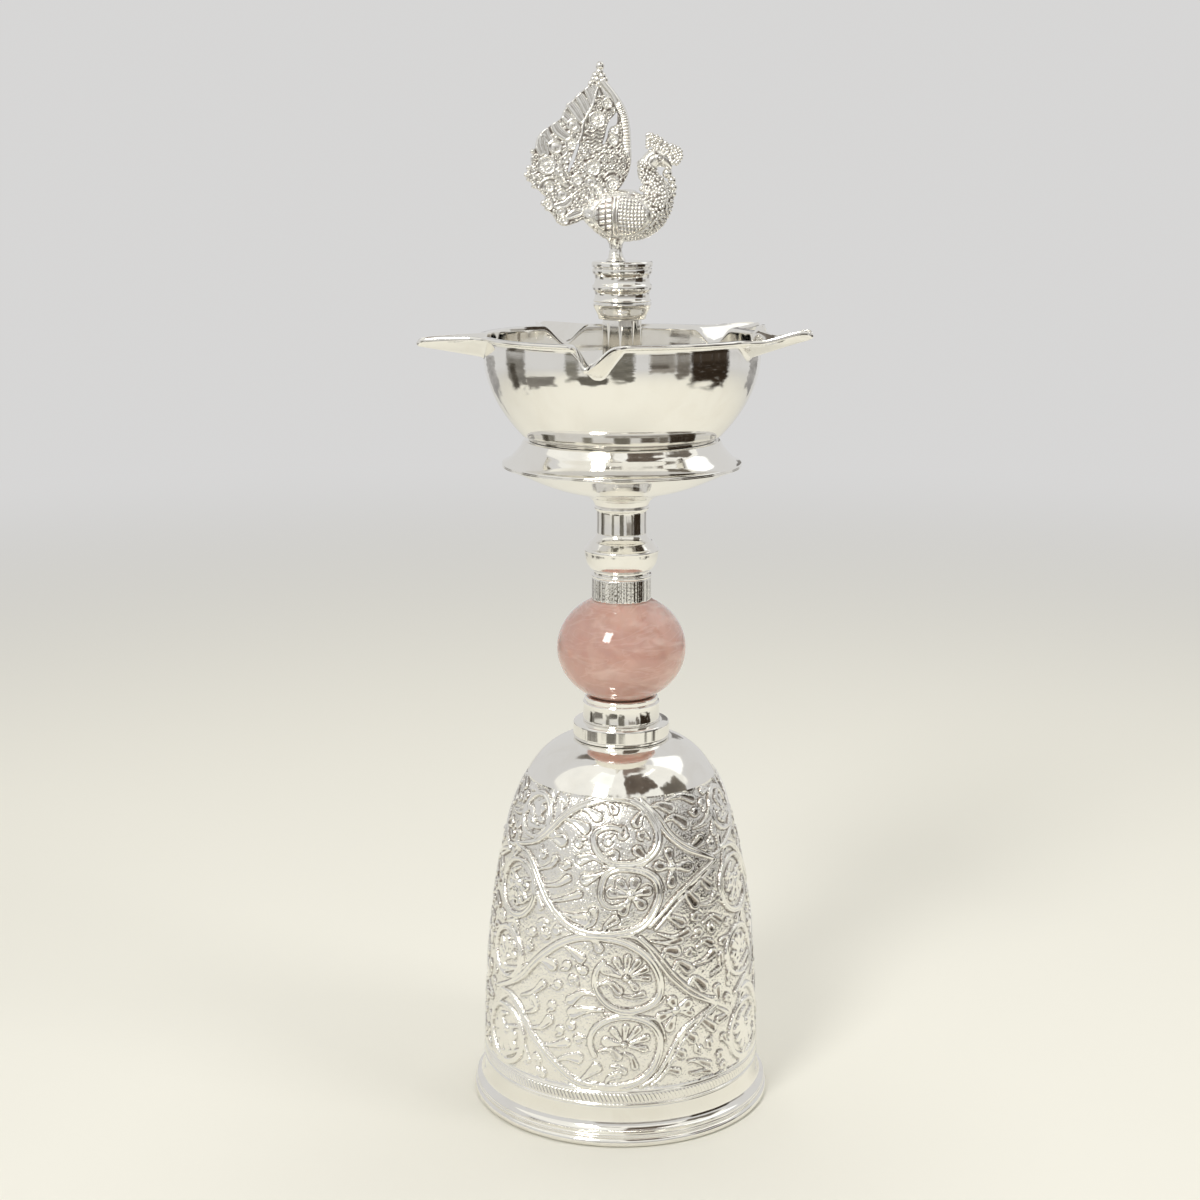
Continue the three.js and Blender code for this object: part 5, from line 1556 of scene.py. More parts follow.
@dataclass
class OilBowl:
    """The spun bowl, its rim pinched out into five spouts."""

    workshop: Workshop
    bottom: float = 199.4
    floor: float = 200.6
    rim_top: float = 229.5
    radius: float = 39.7
    foot_radius: float = 29.2
    groove: float = 1.8
    belly_height: float = 23.2
    belly_power: float = 2.08
    wall: float = 1.2
    rim_radius: float = 41.0
    rim_thickness: float = 1.25
    reach: float = 58.7
    tip_half: float = 1.2
    taper: float = 0.3
    trough_round: float = 0.2
    lip: float = 0.9
    per_spout: int = 96
    spouts: tuple[Spout, ...] = (
        Spout(-10.0, 4.2, 7.3), Spout(62.0, -2.2, 4.6, 3.2), Spout(134.0, 0.4), Spout(206.0, 1.0), Spout(278.0, 1.4),
    )

    def belly(self, height: np.ndarray) -> np.ndarray:
        """Gives the bowl's outer radius at a height."""
        left = np.maximum(1.0 - (height - self.bottom - self.groove) / self.belly_height, 0.0)
        return self.radius - (self.radius - self.foot_radius) * left**self.belly_power

    def drop(self, spout: Spout, radius: np.ndarray, sideways: np.ndarray) -> np.ndarray:
        """Gives how far a spout's upper face lies below the rim.

        Args:
            spout: The spout.
            radius: How far out the place is.
            sideways: How far it is beside the spout's middle.

        Returns:
            The drop in mm.
        """
        mouth = self.radius - self.wall
        along = unit((radius - mouth) / (self.reach - mouth))
        floor = spout.trough + (spout.tip_drop - spout.trough) * along
        ease = unit((along - 0.3) / 0.7)
        edge = (spout.tip_drop - self.lip) * ease**2 * (3 - 2 * ease)
        half = self.tip_half + (self.reach - radius) * self.taper
        across = np.minimum(np.abs(sideways) / half, 1.0)
        rounded = np.hypot(across, self.trough_round) - self.trough_round
        share = rounded / (math.hypot(1.0, self.trough_round) - self.trough_round)
        share = 0.45 * share + 0.55 * across**2 * (3 - 2 * across)
        return floor + (edge - floor) * share

    def outline(self, turn: float) -> float:
        """Gives the rim's radius at an angle in radians from the nearest spout's middle."""
        beak = (self.tip_half + self.reach * self.taper) / (math.sin(abs(turn)) + self.taper)
        blunt = (beak**-40 + self.reach**-40) ** (-1 / 40)
        return (blunt**16 + self.rim_radius**16) ** (1 / 16)

    def section(self, spout: Spout, turn: float) -> np.ndarray:
        """Draws one upright section of the bowl.

        Args:
            spout: The nearest spout.
            turn: The section's angle from the spout's middle, in radians.

        Returns:
            Its (radius, height) points from the bore, out under the bowl, over the rim and back in.
        """
        outer, sine = self.outline(turn), math.sin(turn)
        raised = spout.lift * math.exp(-(((math.degrees(turn) - 17.0) / 9.0) ** 2))

        def top(radius: np.ndarray) -> np.ndarray:
            return self.rim_top + raised * unit((radius - 30) / 10) - self.drop(spout, radius, radius * sine)

        def thick(radius: np.ndarray) -> np.ndarray:
            step = 0.05
            out = (top(radius + step) - top(radius - step)) / (2 * step)
            beside = self.drop(spout, radius, radius * sine + step) - self.drop(spout, radius, radius * sine - step)
            return self.rim_thickness * np.hypot(np.hypot(1.0, out), beside / (2 * step))

        low = self.bottom + self.groove
        root = np.array([self.radius])
        levels = low + (float((top(root) - thick(root))[0]) - low) * np.linspace(0.0, 1.0, 34)
        foot = [
            (BORE, 0), (12.0, 0), (26.6, 0), (26.95, 0.12), (27.05, 0.4), (27.2, 0.75), (27.6, 1.05), (28.1, 1.2),
            (28.6, 1.35), (29.0, 1.55),
        ]
        belly = np.stack([self.belly(levels), levels], axis=1)
        out = self.radius + (outer - self.radius) * np.linspace(0.0, 1.0, 16)
        under = np.stack([out, top(out) - thick(out)], axis=1)
        above = np.stack([out, top(out)], axis=1)[::-1]
        outside = np.concatenate([np.array(foot) + (0.0, self.bottom), belly, under[1:]])
        outside = rounded_at(outside, len(foot) + len(belly) - 1, 0.9)
        nose = self._nose(outside, above)
        lip = float(top(np.array([self.radius - self.wall]))[0])
        depth = np.linspace(lip, self.floor + 1.3, 32)
        well = np.stack([self.belly(depth) - self.wall, depth], axis=1)
        joint = rounded_at(np.concatenate([above, well]), len(above), 0.55)
        edge = well[-1, 0]
        base = [
            (edge - 0.5, 0.75), (edge - 1.2, 0.35), (edge - 2.4, 0.08), (edge - 4.0, 0), (18.0, 0), (10.0, 0),
            (BORE, 0),
        ]
        return np.concatenate([outside, nose, joint, np.array(base) + (0.0, self.floor)])

    def _nose(self, outside: np.ndarray, above: np.ndarray) -> np.ndarray:
        """Rounds the rim.

        Args:
            outside: The section's outside, which ends at the rim. It is drawn back from the rounding.
            above: Its upper face from the rim inwards, which is drawn back too.

        Returns:
            The points of the rounding.
        """
        low, high, outer = outside[-1][1], above[0][1], above[0][0]
        half = (high - low) / 2
        turns = np.radians(np.linspace(-90.0, 90.0, 9))[1:-1]
        inset = min(half, 0.62)
        nose = np.stack([outer - inset + inset * np.cos(turns), (low + high) / 2 + half * np.sin(turns)], axis=1)
        for line in (outside[::-1], above):
            line[0][0] -= inset
            for index in range(1, 6):
                line[index][0] = min(line[index][0], line[index - 1][0] - 0.01)
        return nose

    def build(self) -> None:
        """Makes the bowl in one sheet."""
        shares = np.linspace(-1.0, 1.0, self.per_spout, endpoint=False)
        turns = np.radians(180.0 / len(self.spouts)) * (0.14 * shares + 0.86 * shares * np.abs(shares) ** 1.3)
        sections = []
        for spout in self.spouts:
            for turn in turns:
                line = self.section(spout, turn)
                sections.append(swept(line[:, 0], math.radians(spout.heading) + turn - math.pi / 2, line[:, 1]))
        mesh = rolled(np.stack(sections, axis=1), joined=True)
        self.workshop.deliver(mesh, Label("pinched_oil_bowl", "oil_bowl", slot=Slot.BOWL), 42.0)


TAIL_BACK = (
    (-9.8, 5.6), (-11.5, 5.6), (-12.6, 5), (-13.8, 4.6), (-15.3, 4.1), (-16.8, 4), (-18.1, 4.7), (-19, 5.9),
    (-19.9, 7.3), (-21.1, 8.3), (-22, 9.2), (-22.3, 10.5), (-21.8, 12), (-22.8, 13), (-23.5, 13.8), (-24.6, 14.4),
    (-25.5, 15), (-25.5, 15.8), (-26.5, 16.4), (-27.1, 17.1), (-26.6, 18.2), (-26.8, 19.3), (-25.8, 20.3),
    (-25.7, 21.5), (-25.8, 22.8), (-25.1, 24.1), (-25.4, 24.9), (-24.6, 25.5), (-24.4, 26.8), (-23.9, 28.4),
    (-22.9, 29.8), (-21.4, 30.8), (-19.9, 31.9), (-18.4, 32.8), (-17.2, 33.8), (-16.8, 35.2), (-15.9, 36.5),
    (-15.7, 37.5), (-14.3, 38.1), (-13.5, 39.2), (-12.7, 40), (-11.6, 40.8), (-10.6, 41.7), (-9.2, 42.9),
    (-8.5, 44.2),
)
TAIL_FRONT = (
    (-0.2, 15.1), (1.3, 17.6), (2.2, 20.2), (2.55, 22.9), (2.45, 26.4), (2.25, 30.1), (1.7, 33.8), (0.8, 36.3),
    (-0.5, 38.6), (-2.3, 41.1), (-4.0, 43.1), (-5, 44.3),
)
TAIL_SLITS = (
    (
        (-1.7, 34.9, 0.25), (-2.1, 33.7, 0.6), (-2.6, 32.6, 1.0), (-3.7, 31.7, 0.5), (-4.3, 30.2, 0.33),
        (-4.6, 28.6, 0.33), (-5.3, 26.8, 0.3),
    ),
    (
        (-12.4, 26.4, 0.3), (-13.1, 24.6, 0.42), (-13.9, 22.4, 0.45), (-14.6, 20.7, 0.4), (-15.1, 19.2, 0.3),
    ),
)
TAIL_MIDRIB = (
    (-6.9, 41.7), (-7.4, 39.8), (-8.2, 37.1), (-9.8, 34.4), (-10.9, 31.9), (-11.2, 29.6), (-12, 27.5), (-12.9, 25.4),
    (-14.1, 22.9), (-15, 19.7),
)
TAIL_FEATHERS = (
    ((-9.8, 41.7), (-8.9, 39.8), (-8.2, 37.3), 1), ((-12.2, 39.8), (-10.9, 37.7), (-9.6, 34.8), 1.15),
    ((-14.7, 37.7), (-13.2, 35.8), (-11.5, 33.1), 1.2), ((-16.7, 34.8), (-14.9, 33.3), (-12.6, 30.6), 1.15),
    ((-19, 32.1), (-17.9, 30.2), (-15.2, 28.1), 1.2), ((-21.6, 30.6), (-21.2, 28.5), (-18.6, 25.6), 1.1),
    ((-23.6, 28.9), (-23.5, 26.6), (-22.7, 24.1), 1), ((-22.2, 28.5), (-22.2, 26.4), (-21.2, 23.9), 0.8),
    ((-8.1, 42.3), (-7.4, 41.3), (-6.6, 39.8), 0.7), ((-5.7, 42.7), (-4.7, 40.9), (-4, 39), 0.8),
    ((-14.7, 11.4), (-16, 10.1), (-18.6, 9.5), 0.9), ((-11.7, 8), (-13.4, 7.4), (-15.2, 6.6), 1),
)
TAIL_RIDGES = (
    ((-9.6, 30.3), (-8.4, 30.0), (-7.2, 30.9), (-6.0, 30.5), (-4.9, 30.9), 0.2),
    ((-9.7, 29.3), (-8.5, 29.0), (-7.3, 29.9), (-6.1, 29.4), (-5.0, 29.9), 0.2),
    ((-9.8, 28.3), (-8.6, 28.1), (-7.4, 28.9), (-6.2, 28.4), (-5.2, 28.8), 0.2),
    ((-9.7, 27.3), (-8.6, 27.1), (-7.5, 27.8), (-6.4, 27.3), (-5.5, 27.7), 0.2),
    ((-9.6, 26.3), (-8.6, 26.1), (-7.6, 26.7), (-6.6, 26.2), (-5.8, 26.6), 0.2),
    ((-5.2, 17.6), (-4, 18.8), (-2.3, 19.1), (-0.8, 18.5), (-0.1, 17.4), 0.3),
    ((-4.8, 16.8), (-3.6, 17.6), (-2.3, 17.8), (-1.2, 17.1), 0.25),
    ((-23.4, 14.3), (-22.7, 16.2), (-20.7, 17.3), (-18.6, 17.2), (-16.9, 16), (-15.8, 14.9), 0.34),
    ((-22, 13.9), (-21.6, 15.5), (-20.1, 16.2), (-18.8, 15.5), 0.28),
    ((-4.7, 26.4), (-3.8, 25.6), (-2.8, 26.4), (-1.8, 25.5), (-0.6, 26.6), 0.22),
    ((-7, 25), (-5.9, 24.3), (-4.9, 25.2), (-3.8, 24.2), (-2.7, 25), (-1.6, 24), (-0.4, 25), 0.22),
    ((-8.7, 22.9), (-7.4, 23.7), (-6.2, 22.9), (-4.9, 23.7), (-3.6, 22.8), (-2.3, 23.5), (-1, 22.6), (0.5, 23.5), 0.22),
    ((-14.3, 9.1), (-12.6, 8.6), (-10.9, 8), 0.25), ((-16, 15.5), (-14.3, 14.3), (-12.6, 12.8), (-10.9, 11.8), 0.2),
    ((-15.2, 16.4), (-13.2, 14.9), (-11.5, 13.5), (-9.8, 12.6), 0.2),
    ((-16, 13.5), (-14.3, 14.9), (-12.6, 15.8), (-10.9, 16.6), 0.2),
    ((-14.3, 12), (-12.6, 13.7), (-10.9, 14.7), (-9.6, 15.3), 0.2),
)
TAIL_EYES = (
    (-7, 33.3, 2.1, 12), (-2.4, 30.6, 1.35, 9), (-2.5, 27.6, 1.15, 8), (-18.8, 25.8, 1.7, 0), (-14, 31.8, 1.3, 0),
    (-14.3, 26.6, 1.5, 10), (-4.2, 37.7, 1.3, 9), (-21.2, 20.8, 2.4, 16), (-8.3, 20.1, 2, 11), (-9, 16.3, 1.35, 0),
    (-2.7, 15.6, 1.6, 9), (-6.8, 14, 1.2, 8), (-16, 22.4, 1, 0), (-20.6, 14.8, 1.3, 8), (-17.1, 12.8, 1.4, 0),
    (-20.9, 9.9, 1.3, 9), (-17.3, 8, 1.1, 0), (-16.4, 5.5, 1, 7), (-12.8, 16.8, 1.4, 10), (-17.7, 18.9, 1.1, 0),
)
TAIL_BALLS = (
    (-6.3, 47.8, 1.25), (-6.45, 46.2, 1.15), (-7.45, 45.2, 1.15), (-5.75, 45.0, 1.2), (-8.1, 44.2, 0.95),
    (-6.9, 44.0, 1.35), (-5.0, 44.0, 1.0), (-8.9, 43.0, 0.85), (-6.6, 42.7, 1.1), (-25.2, 24.6, 0.7),
    (-26.3, 20.1, 0.75), (-27.0, 18.2, 0.72), (-26.5, 17.0, 0.62), (-24.9, 15.2, 0.85), (-22.2, 10.4, 0.9),
    (-21.2, 9.0, 0.8), (-18.0, 5.6, 0.85), (-16.8, 4.9, 0.75), (-15.3, 5.0, 0.7),
)
BEADS = (
    (12.6, 18.6, 1.45), (13.9, 16.7, 1.2), (14.3, 14.8, 1.15), (14.2, 13.0, 1.05), (13.5, 11.5, 0.8),
    (5.5, 14.3, 0.85),
)
CREST_INNER = (
    (6.9, 25.6), (8.4, 26.0), (10.4, 25.6), (12.2, 24.5), (13.4, 22.9), (13.9, 21.5),
)
CREST_OUTER = (
    (6.9, 28.9), (8.1, 29.5), (10.4, 28.2), (13.9, 26.1), (16.3, 24.9), (16.6, 23.0), (15.4, 21.4),
)
SPINE = (
    (-11.6, 7.6, 1.2, 1.1), (-9.0, 7.5, 3.7, 3.0), (-5.0, 7.2, 6.2, 4.6), (0.0, 7.1, 7.1, 5.2), (4.8, 7.5, 6.8, 5.0),
    (8.2, 9.3, 5.6, 4.5), (9.8, 12.5, 4.3, 3.6), (8.5, 16.1, 2.8, 2.6), (6.9, 18.6, 2.3, 2.1), (7.3, 21.0, 2.6, 2.5),
    (9.1, 22.75, 2.75, 2.6), (11.2, 22.3, 2.15, 1.9), (12.9, 20.9, 1.25, 1.0), (13.7, 19.7, 0.45, 0.35),
)


class PlateRelief(Relief):
    """Heights worked into both faces of the flat tail, over places that are (across, up) in mm."""

    def __init__(self, across: np.ndarray, up: np.ndarray) -> None:
        """Starts with a flat ground.

        Args:
            across: Every point's place from the lamp's axis.
            up: Every point's height above the bird's belly.
        """
        self.across, self.up = across, up
        self.worked = np.zeros_like(across)
        self.clear = np.full_like(across, BARE)

    def nearest(self, line: Sequence[Point], margin: float) -> tuple[Area, np.ndarray, np.ndarray]:
        """Measures how far the points near a line are from it.

        Args:
            line: The line's (across, up) places.
            margin: How far beside it to look.

        Returns:
            Which points were looked at, their distance in mm, and the share of the line's length nearest to them.
        """
        places = np.array(line)
        low, high = places.min(axis=0) - margin, places.max(axis=0) + margin
        near = (self.across > low[0]) & (self.across < high[0]) & (self.up > low[1]) & (self.up < high[1])
        points = np.stack([self.across[near], self.up[near]], axis=1)
        least, share = np.full(len(points), NOWHERE), np.zeros(len(points))
        for index, (start, end) in enumerate(zip(places, places[1:])):
            run = end - start
            t = unit((points - start) @ run / (run @ run + 1e-9))
            away = np.linalg.norm(points - start - t[:, None] * run, axis=1)
            nearer = away < least
            least[nearer] = away[nearer]
            share[nearer] = ((index + t) / (len(places) - 1))[nearer]
        return near, least, share

    def feather(self, line: Sequence[Point], half: float) -> None:
        """Raises a feather's barb: a hollowed blade with a rib along it."""
        near, away, share = self.nearest(spline(line, 16), half + 1.0)
        width = half * (0.75 + 0.45 * np.sin(np.pi * (share * 0.8 + 0.15)))
        hollow = 0.26 * dome(away / (0.72 * width), 1) - 0.1 * swell(away, 0.16)
        self.press(near, away, width, 0.5 - hollow, 0.3)

    def ridge(self, line: Sequence[Point], half: float, height: float) -> None:
        """Raises a plain rounded ridge."""
        near, away, _ = self.nearest(spline(line, 6 * len(line)), half + 1.0)
        self.press(near, away, half, height)

    def eye(self, x: float, z: float, radius: float, rays: int) -> None:
        """Raises an eye feather's spot: a ring round a ball, with rays between where it has them.

        Args:
            x: Its place across.
            z: Its height.
            radius: Its radius.
            rays: The number of rays, or 0 for a plain polished spot.
        """
        near, away = self.near_point((x, z), radius + 1.0)
        self.worked[near] = np.where(away < radius, 0.1, self.worked[near])
        self.press(near, np.abs(away - radius), 0.3, 0.55)
        if rays:
            angle = np.arctan2(self.up[near] - z, self.across[near] - x)
            between = (away > radius * 0.42) & (away < radius * 0.88)
            fan = 0.34 * (0.5 + 0.5 * np.cos(rays * angle)) * between
            self.worked[near] = np.maximum(self.worked[near], fan)
            self.press(near, away, radius * 0.34, 0.48)
        else:
            self.press(near, away, radius * 0.78, 0.3, 0.9)
        self.clear[near] = np.minimum(self.clear[near], away - radius - 0.2)

    def rings(self, least: float, most: int) -> None:
        """Fills bare places with small rings and grains, the largest first."""
        for _ in range(most):
            place = np.unravel_index(np.argmax(self.clear), self.clear.shape)
            gap = self.clear[place]
            if gap < least:
                break
            radius = min(gap * 0.85, 0.85)
            near, away = self.near_point((self.across[place], self.up[place]), 1.6)
            if radius > 0.55:
                self.press(near, np.abs(away - radius + 0.15), 0.17, 0.4)
                self.press(near, away, 0.24, 0.3)
            else:
                self.press(near, away, radius, 0.42)
            self.clear[near] = np.minimum(self.clear[near], away - radius - 0.08)


@dataclass
class Peacock:
    """The cast bird on its peg: a beaded body, a pierced tail raised over its back and a knobbly crest."""

    workshop: Workshop
    base: float = 255.7
    wing: tuple[float, float, float, float] = (-0.2, 6.9, 7.4, 5.2)
    tail_half: float = 0.95
    peg_offset: float = -1.8

    def _hand_in(self, mesh: Mesh, name: str, node: str, crease: float = 70.0, antiqued: bool = False) -> None:
        """Hands a cast piece in, either bright or darkened in its recesses."""
        finish = self.workshop.antiqued if antiqued else None
        self.workshop.deliver(mesh, Label(name, node, Body.FINIAL, Slot.CAST), crease, finish)

    def body(self) -> None:
        """Lofts the body along its spine, with a beaded wing, chest and neck and a smooth head."""
        rows, columns, blunt = 330, 240, 1.0
        dense = spline(SPINE, 2399)
        length = run_along(dense)[-1]
        marks = np.linspace(0.0, length, rows)
        x, z, high, wide = sampled(dense, marks).T
        heading = np.unwrap(np.arctan2(np.gradient(z), np.gradient(x)))
        window = np.exp(-0.5 * (np.arange(-24, 25) / 9.0) ** 2)
        heading = np.convolve(np.pad(heading, 24, mode="edge"), window / window.sum(), mode="valid")[:, None]
        ends = dome(1.0 - unit(np.minimum(marks, length - marks) / blunt))
        high, wide = np.maximum(high * ends, 0.0), np.maximum(wide * ends, 0.0)
        x, z, high, wide = (values[:, None] for values in (x, z, high, wide))
        angle = whole_turn(columns)[None, :]
        rise, side = np.sin(angle), np.cos(angle)
        nx, nz = -np.sin(heading), np.cos(heading)
        skin = np.stack([x + nx * high * rise, wide * side, z + nz * high * rise], axis=2)
        out = np.stack([nx * rise * wide, side * high, nz * rise * wide], axis=2)
        out /= np.sqrt((out**2).sum(axis=2, keepdims=True)) + 1e-6
        work, tone = self._plumage(skin, marks[:, None] / length, self._granules(skin, 0.95, 0.42))
        work *= np.minimum(high, 1.5) / 1.5
        places = skin + out * work[:, :, None] + (0.0, 0.0, self.base)
        self._hand_in(rolled(places, raised=tone), "peacock_body_cast", "peacock_body", antiqued=True)

    def _beads(self, along: np.ndarray, across: np.ndarray, pitch: float, height: float, staggered: bool) -> np.ndarray:
        """Gives a field of round beads on a square or a staggered grid."""
        row = np.round(across / pitch)
        shift = (row % 2) * 0.5 * staggered
        column = np.round(along / pitch - shift) + shift
        return height * dome(np.hypot(along / pitch - column, across / pitch - row) / 0.5)

    def _granules(self, places: np.ndarray, pitch: float, height: float) -> np.ndarray:
        """Scatters round beads evenly over a surface.

        Args:
            places: The surface's points, in mm.
            pitch: About how far apart the beads are.
            height: How high a bead stands.

        Returns:
            The height of the beads at each point.
        """
        rng = np.random.default_rng(8)
        spots = places[::2, ::2].reshape(-1, 3)
        spots = spots[rng.permutation(len(spots))]
        cells: dict[tuple[int, ...], list[np.ndarray]] = {}
        kept = []
        least = (0.82 * pitch) ** 2
        for spot in spots:
            cell = tuple(int(value) for value in np.floor(spot / pitch))
            around = (
                other
                for i in (-1, 0, 1) for j in (-1, 0, 1) for k in (-1, 0, 1)
                for other in cells.get((cell[0] + i, cell[1] + j, cell[2] + k), ())
            )
            if all(float(np.dot(other - spot, other - spot)) > least for other in around):
                cells.setdefault(cell, []).append(spot)
                kept.append(spot)
        tree = KDTree(len(kept))
        for index, spot in enumerate(kept):
            tree.insert(spot, index)
        tree.balance()
        away = np.array([tree.find(point)[2] for point in places.reshape(-1, 3)]).reshape(places.shape[:2])
        return height * dome(away / (0.5 * pitch))

    def _plumage(self, skin: np.ndarray, share: np.ndarray, down: np.ndarray) -> tuple[np.ndarray, np.ndarray]:
        """Gives the height of the plumage at each point of the body.

        Args:
            skin: Each point, forward, to the side and above the belly.
            share: Its share of the way from the tail root to the beak.
            down: The height of the beads that stand for down.

        Returns:
            The heights in mm, and how bright each point is rubbed, from 1 down to -0.8 in the recesses.
        """
        x, y, z = skin[:, :, 0], np.abs(skin[:, :, 1]), skin[:, :, 2]
        wx, wz, rx, rz = self.wing
        oval = np.hypot((x - wx) / rx, (z - wz - 0.18 * np.cos((z - wz) / rz * 1.3)) / rz)
        flank = (share < 0.62) * (y > 1.0)
        inside = unit((1.0 - oval) * 9.0) * flank
        rim = swell((oval - 1.0) * rx, 0.75) * (share < 0.62) * unit((y - 0.8) / 0.6)
        wing = self._wing_work(x, z)
        smooth_back = unit((z - 11.0 - 0.25 * np.abs(x - 1.0)) / 0.8) * (share < 0.5)
        head = unit((share - 0.79) / 0.02)
        tail_root = unit((-5.5 - x) / 1.5) * (share < 0.3)
        dots = self._beads(x * 0.8 + 0.3, z * 0.8, 1.7, 0.2, True)
        outside = (down * (1.0 - smooth_back) * (1.0 - tail_root) + dots * tail_root) * (1.0 - head)
        work = np.where(inside > 0, inside * (0.22 + wing) + (1.0 - inside) * outside * 0.5, outside)
        work = np.maximum(work, 0.5 * rim)
        groove = -0.22 * swell((oval - 1.1) * rx, 0.4) * flank
        eye = np.hypot(x - 10.6, z - 22.7)
        lid = 0.3 * swell(eye - 0.95, 0.2) + 0.4 * dome(eye / 0.5)
        cheek = np.hypot(x - 9.6, z - 21.2)
        crescent = -0.35 * swell(cheek - 2.6, 0.32) * (x < 9.2) * (z < 23.9) * (z > 20.2)
        collar = 0.32 * swell((share - 0.785) * 46.0, 0.5)
        bare = np.maximum(np.maximum(head, smooth_back * (inside <= 0)), tail_root * (inside <= 0))
        depth = np.where(inside > 0, wing / 0.24, work / 0.2)
        tone = 1.0 - 1.8 * (1.0 - unit(depth)) * (1.0 - bare)
        tone = np.minimum(tone, 1.0 + 6.0 * groove)
        tone = np.minimum(tone, 1.0 + head * (5.0 * crescent - 1.8 * swell(eye - 0.7, 0.18)))
        return work + groove + head * (lid + crescent) + collar, np.clip(tone, -0.8, 1.0)

    def _wing_work(self, x: np.ndarray, z: np.ndarray) -> np.ndarray:
        """Gives the height of the wing's work: a beaded shoulder, two bars and rows of flight feathers."""
        bend = 0.35 * np.sin(z * 0.42 - 1.2)
        beaded = unit((x + 0.9 + bend) * 3.0)
        grid = self._beads(x + bend, z + 0.3 * np.sin(x * 0.4), 1.02, 0.42, False)
        row = unit(1.6 * np.cos((z - 0.1 * x) * 2 * np.pi / 1.42) + 0.9)
        block = unit((0.78 - np.abs((x + 0.2 * bend + 6.6) % 1.9 - 0.95)) * 6.0)
        bars = 0.34 * (swell(x + bend + 2.25, 0.32, 4) + swell(x + bend + 1.3, 0.26, 4))
        return beaded * grid + (1.0 - beaded) * np.maximum(0.34 * row * block * (x + bend < -2.8), bars)

    def _knobs(self, name: str, node: str, balls: Sequence[tuple[float, float, float]]) -> None:
        """Casts a set of (across, up, radius) balls."""
        mesh = bmesh.new()
        for x, z, radius in balls:
            place = Matrix.Translation((x, 0.0, z + self.base))
            bmesh.ops.create_icosphere(mesh, subdivisions=3, radius=radius, matrix=place)
        self._hand_in(mesh, name, node)

    def bead_string(self) -> None:
        """Strings the beads that hang from the beak to the chest, and sets the knob at the root of the neck."""
        self._knobs("peacock_bead_string", "peacock_body", BEADS)

    def tail_balls(self) -> None:
        """Sets the ball on the tail's tip and the small knobs down its back edge."""
        self._knobs("peacock_tail_knobs", "peacock_tail", TAIL_BALLS)

    def tail(self) -> None:
        """Casts the tail: a plate in low relief on both faces, with a milled front edge and two slits."""
        rows, half_columns = 270, 130
        front = spline(TAIL_FRONT, 120)
        shares = np.linspace(0.0, 1.0, rows)
        start, end = (sampled(line, shares * run_along(line)[-1]) for line in (spline(TAIL_BACK, 700), front))
        t = np.linspace(0.0, 1.0, half_columns)
        u = (0.6 * t + 0.4 * (0.5 - 0.5 * np.cos(np.pi * t)))[None, :, None]
        flat = start[:, None, :] * (1 - u) + end[:, None, :] * u
        across, up = flat[:, :, 0], flat[:, :, 1]
        relief = PlateRelief(across, up)
        tone = self._chase_tail(relief, front)
        width = np.linalg.norm(end - start, axis=1)[:, None]
        edge = np.minimum(u[:, :, 0] * width, (1 - u[:, :, 0]) * width)
        edge = np.minimum(edge, (1.0 - shares)[:, None] * 30.0 + 0.25)
        tone = np.where(edge < 0.3, 1.0, tone)
        thick = (self.tail_half - 0.25) * dome(1.0 - unit(edge / 0.8)) + relief.worked * unit(edge / 0.5)
        near, far = (np.stack([across, side * thick, up + self.base], axis=2) for side in (-1, 1))
        loop = np.concatenate([near, far[:, -2:0:-1]], axis=1)
        tone = np.concatenate([tone, tone[:, -2:0:-1]], axis=1)
        poles = [np.broadcast_to(loop[end].mean(axis=0), (1, loop.shape[1], 3)) for end in (0, -1)]
        plain = np.ones((1, loop.shape[1]))
        mesh = rolled(np.concatenate([poles[0], loop, poles[1]]), raised=np.concatenate([plain, tone, plain]))
        for slit in TAIL_SLITS:
            self._pierce(mesh, slit)
        self._hand_in(mesh, "peacock_tail_cast", "peacock_tail", antiqued=True)

    def _chase_tail(self, relief: PlateRelief, front: np.ndarray) -> np.ndarray:
        """Works the feathers, eyes, ridges and milled edge into the tail.

        Args:
            relief: The tail's face.
            front: Its front edge.

        Returns:
            How bright each point is rubbed, from 1 down to -0.8 in the recesses, and at -0.8 as painted shade round the
            slits.
        """
        for *line, half in TAIL_FEATHERS:
            relief.feather(line, half)
        for *line, half in TAIL_RIDGES:
            relief.ridge(line, half, 0.5)
        for eye in TAIL_EYES:
            relief.eye(*eye)
        relief.ridge(TAIL_MIDRIB, 0.4, 0.6)
        relief.rings(0.36, 260)
        near, away, share = relief.nearest(front[::2], 3.0)
        ribbed = unit((share - 0.3) * 20) * unit((0.74 - share) * 20) * (away < 2.0)
        valley = (0.5 - 0.5 * np.cos(2 * np.pi * share * 48.0)) * ribbed
        wide = 2.2 * unit((share - 0.24) * 12)
        banded = away < wide - 0.1
        relief.worked[near] = np.where(banded, 0.2, relief.worked[near])
        flatter = 0.25 + 0.5 * unit((share - 0.72) * 12)
        relief.press(near, away, np.maximum(wide, 0.02), 0.66 - 0.34 * valley, flatter)
        tone = unit((relief.worked - 0.04) / 0.2) * 1.7 - 0.7
        tone[near] = np.where(banded, 1.0 - 1.7 * valley, tone[near])
        tone[near] = np.where((np.abs(away - wide - 0.1) < 0.15) & (wide > 1.0) & (share < 0.8), -0.7, tone[near])
        # Painted shade: the slits' walls and a thin ring round them are made darkest.
        for slit in TAIL_SLITS:
            for x, z, half in self._spots(slit):
                tone[np.hypot(relief.across - x, relief.up - z) < half + 0.22] = -0.8
        return tone

    def _spots(self, slit: Sequence[tuple[float, float, float]]) -> np.ndarray:
        """Gives the overlapping rounds, as (across, up, radius), that make up a slit."""
        known = np.array(slit)
        length = run_along(known)[-1]
        return sampled(known, np.linspace(0.0, length, int(length / 0.12) + 2))

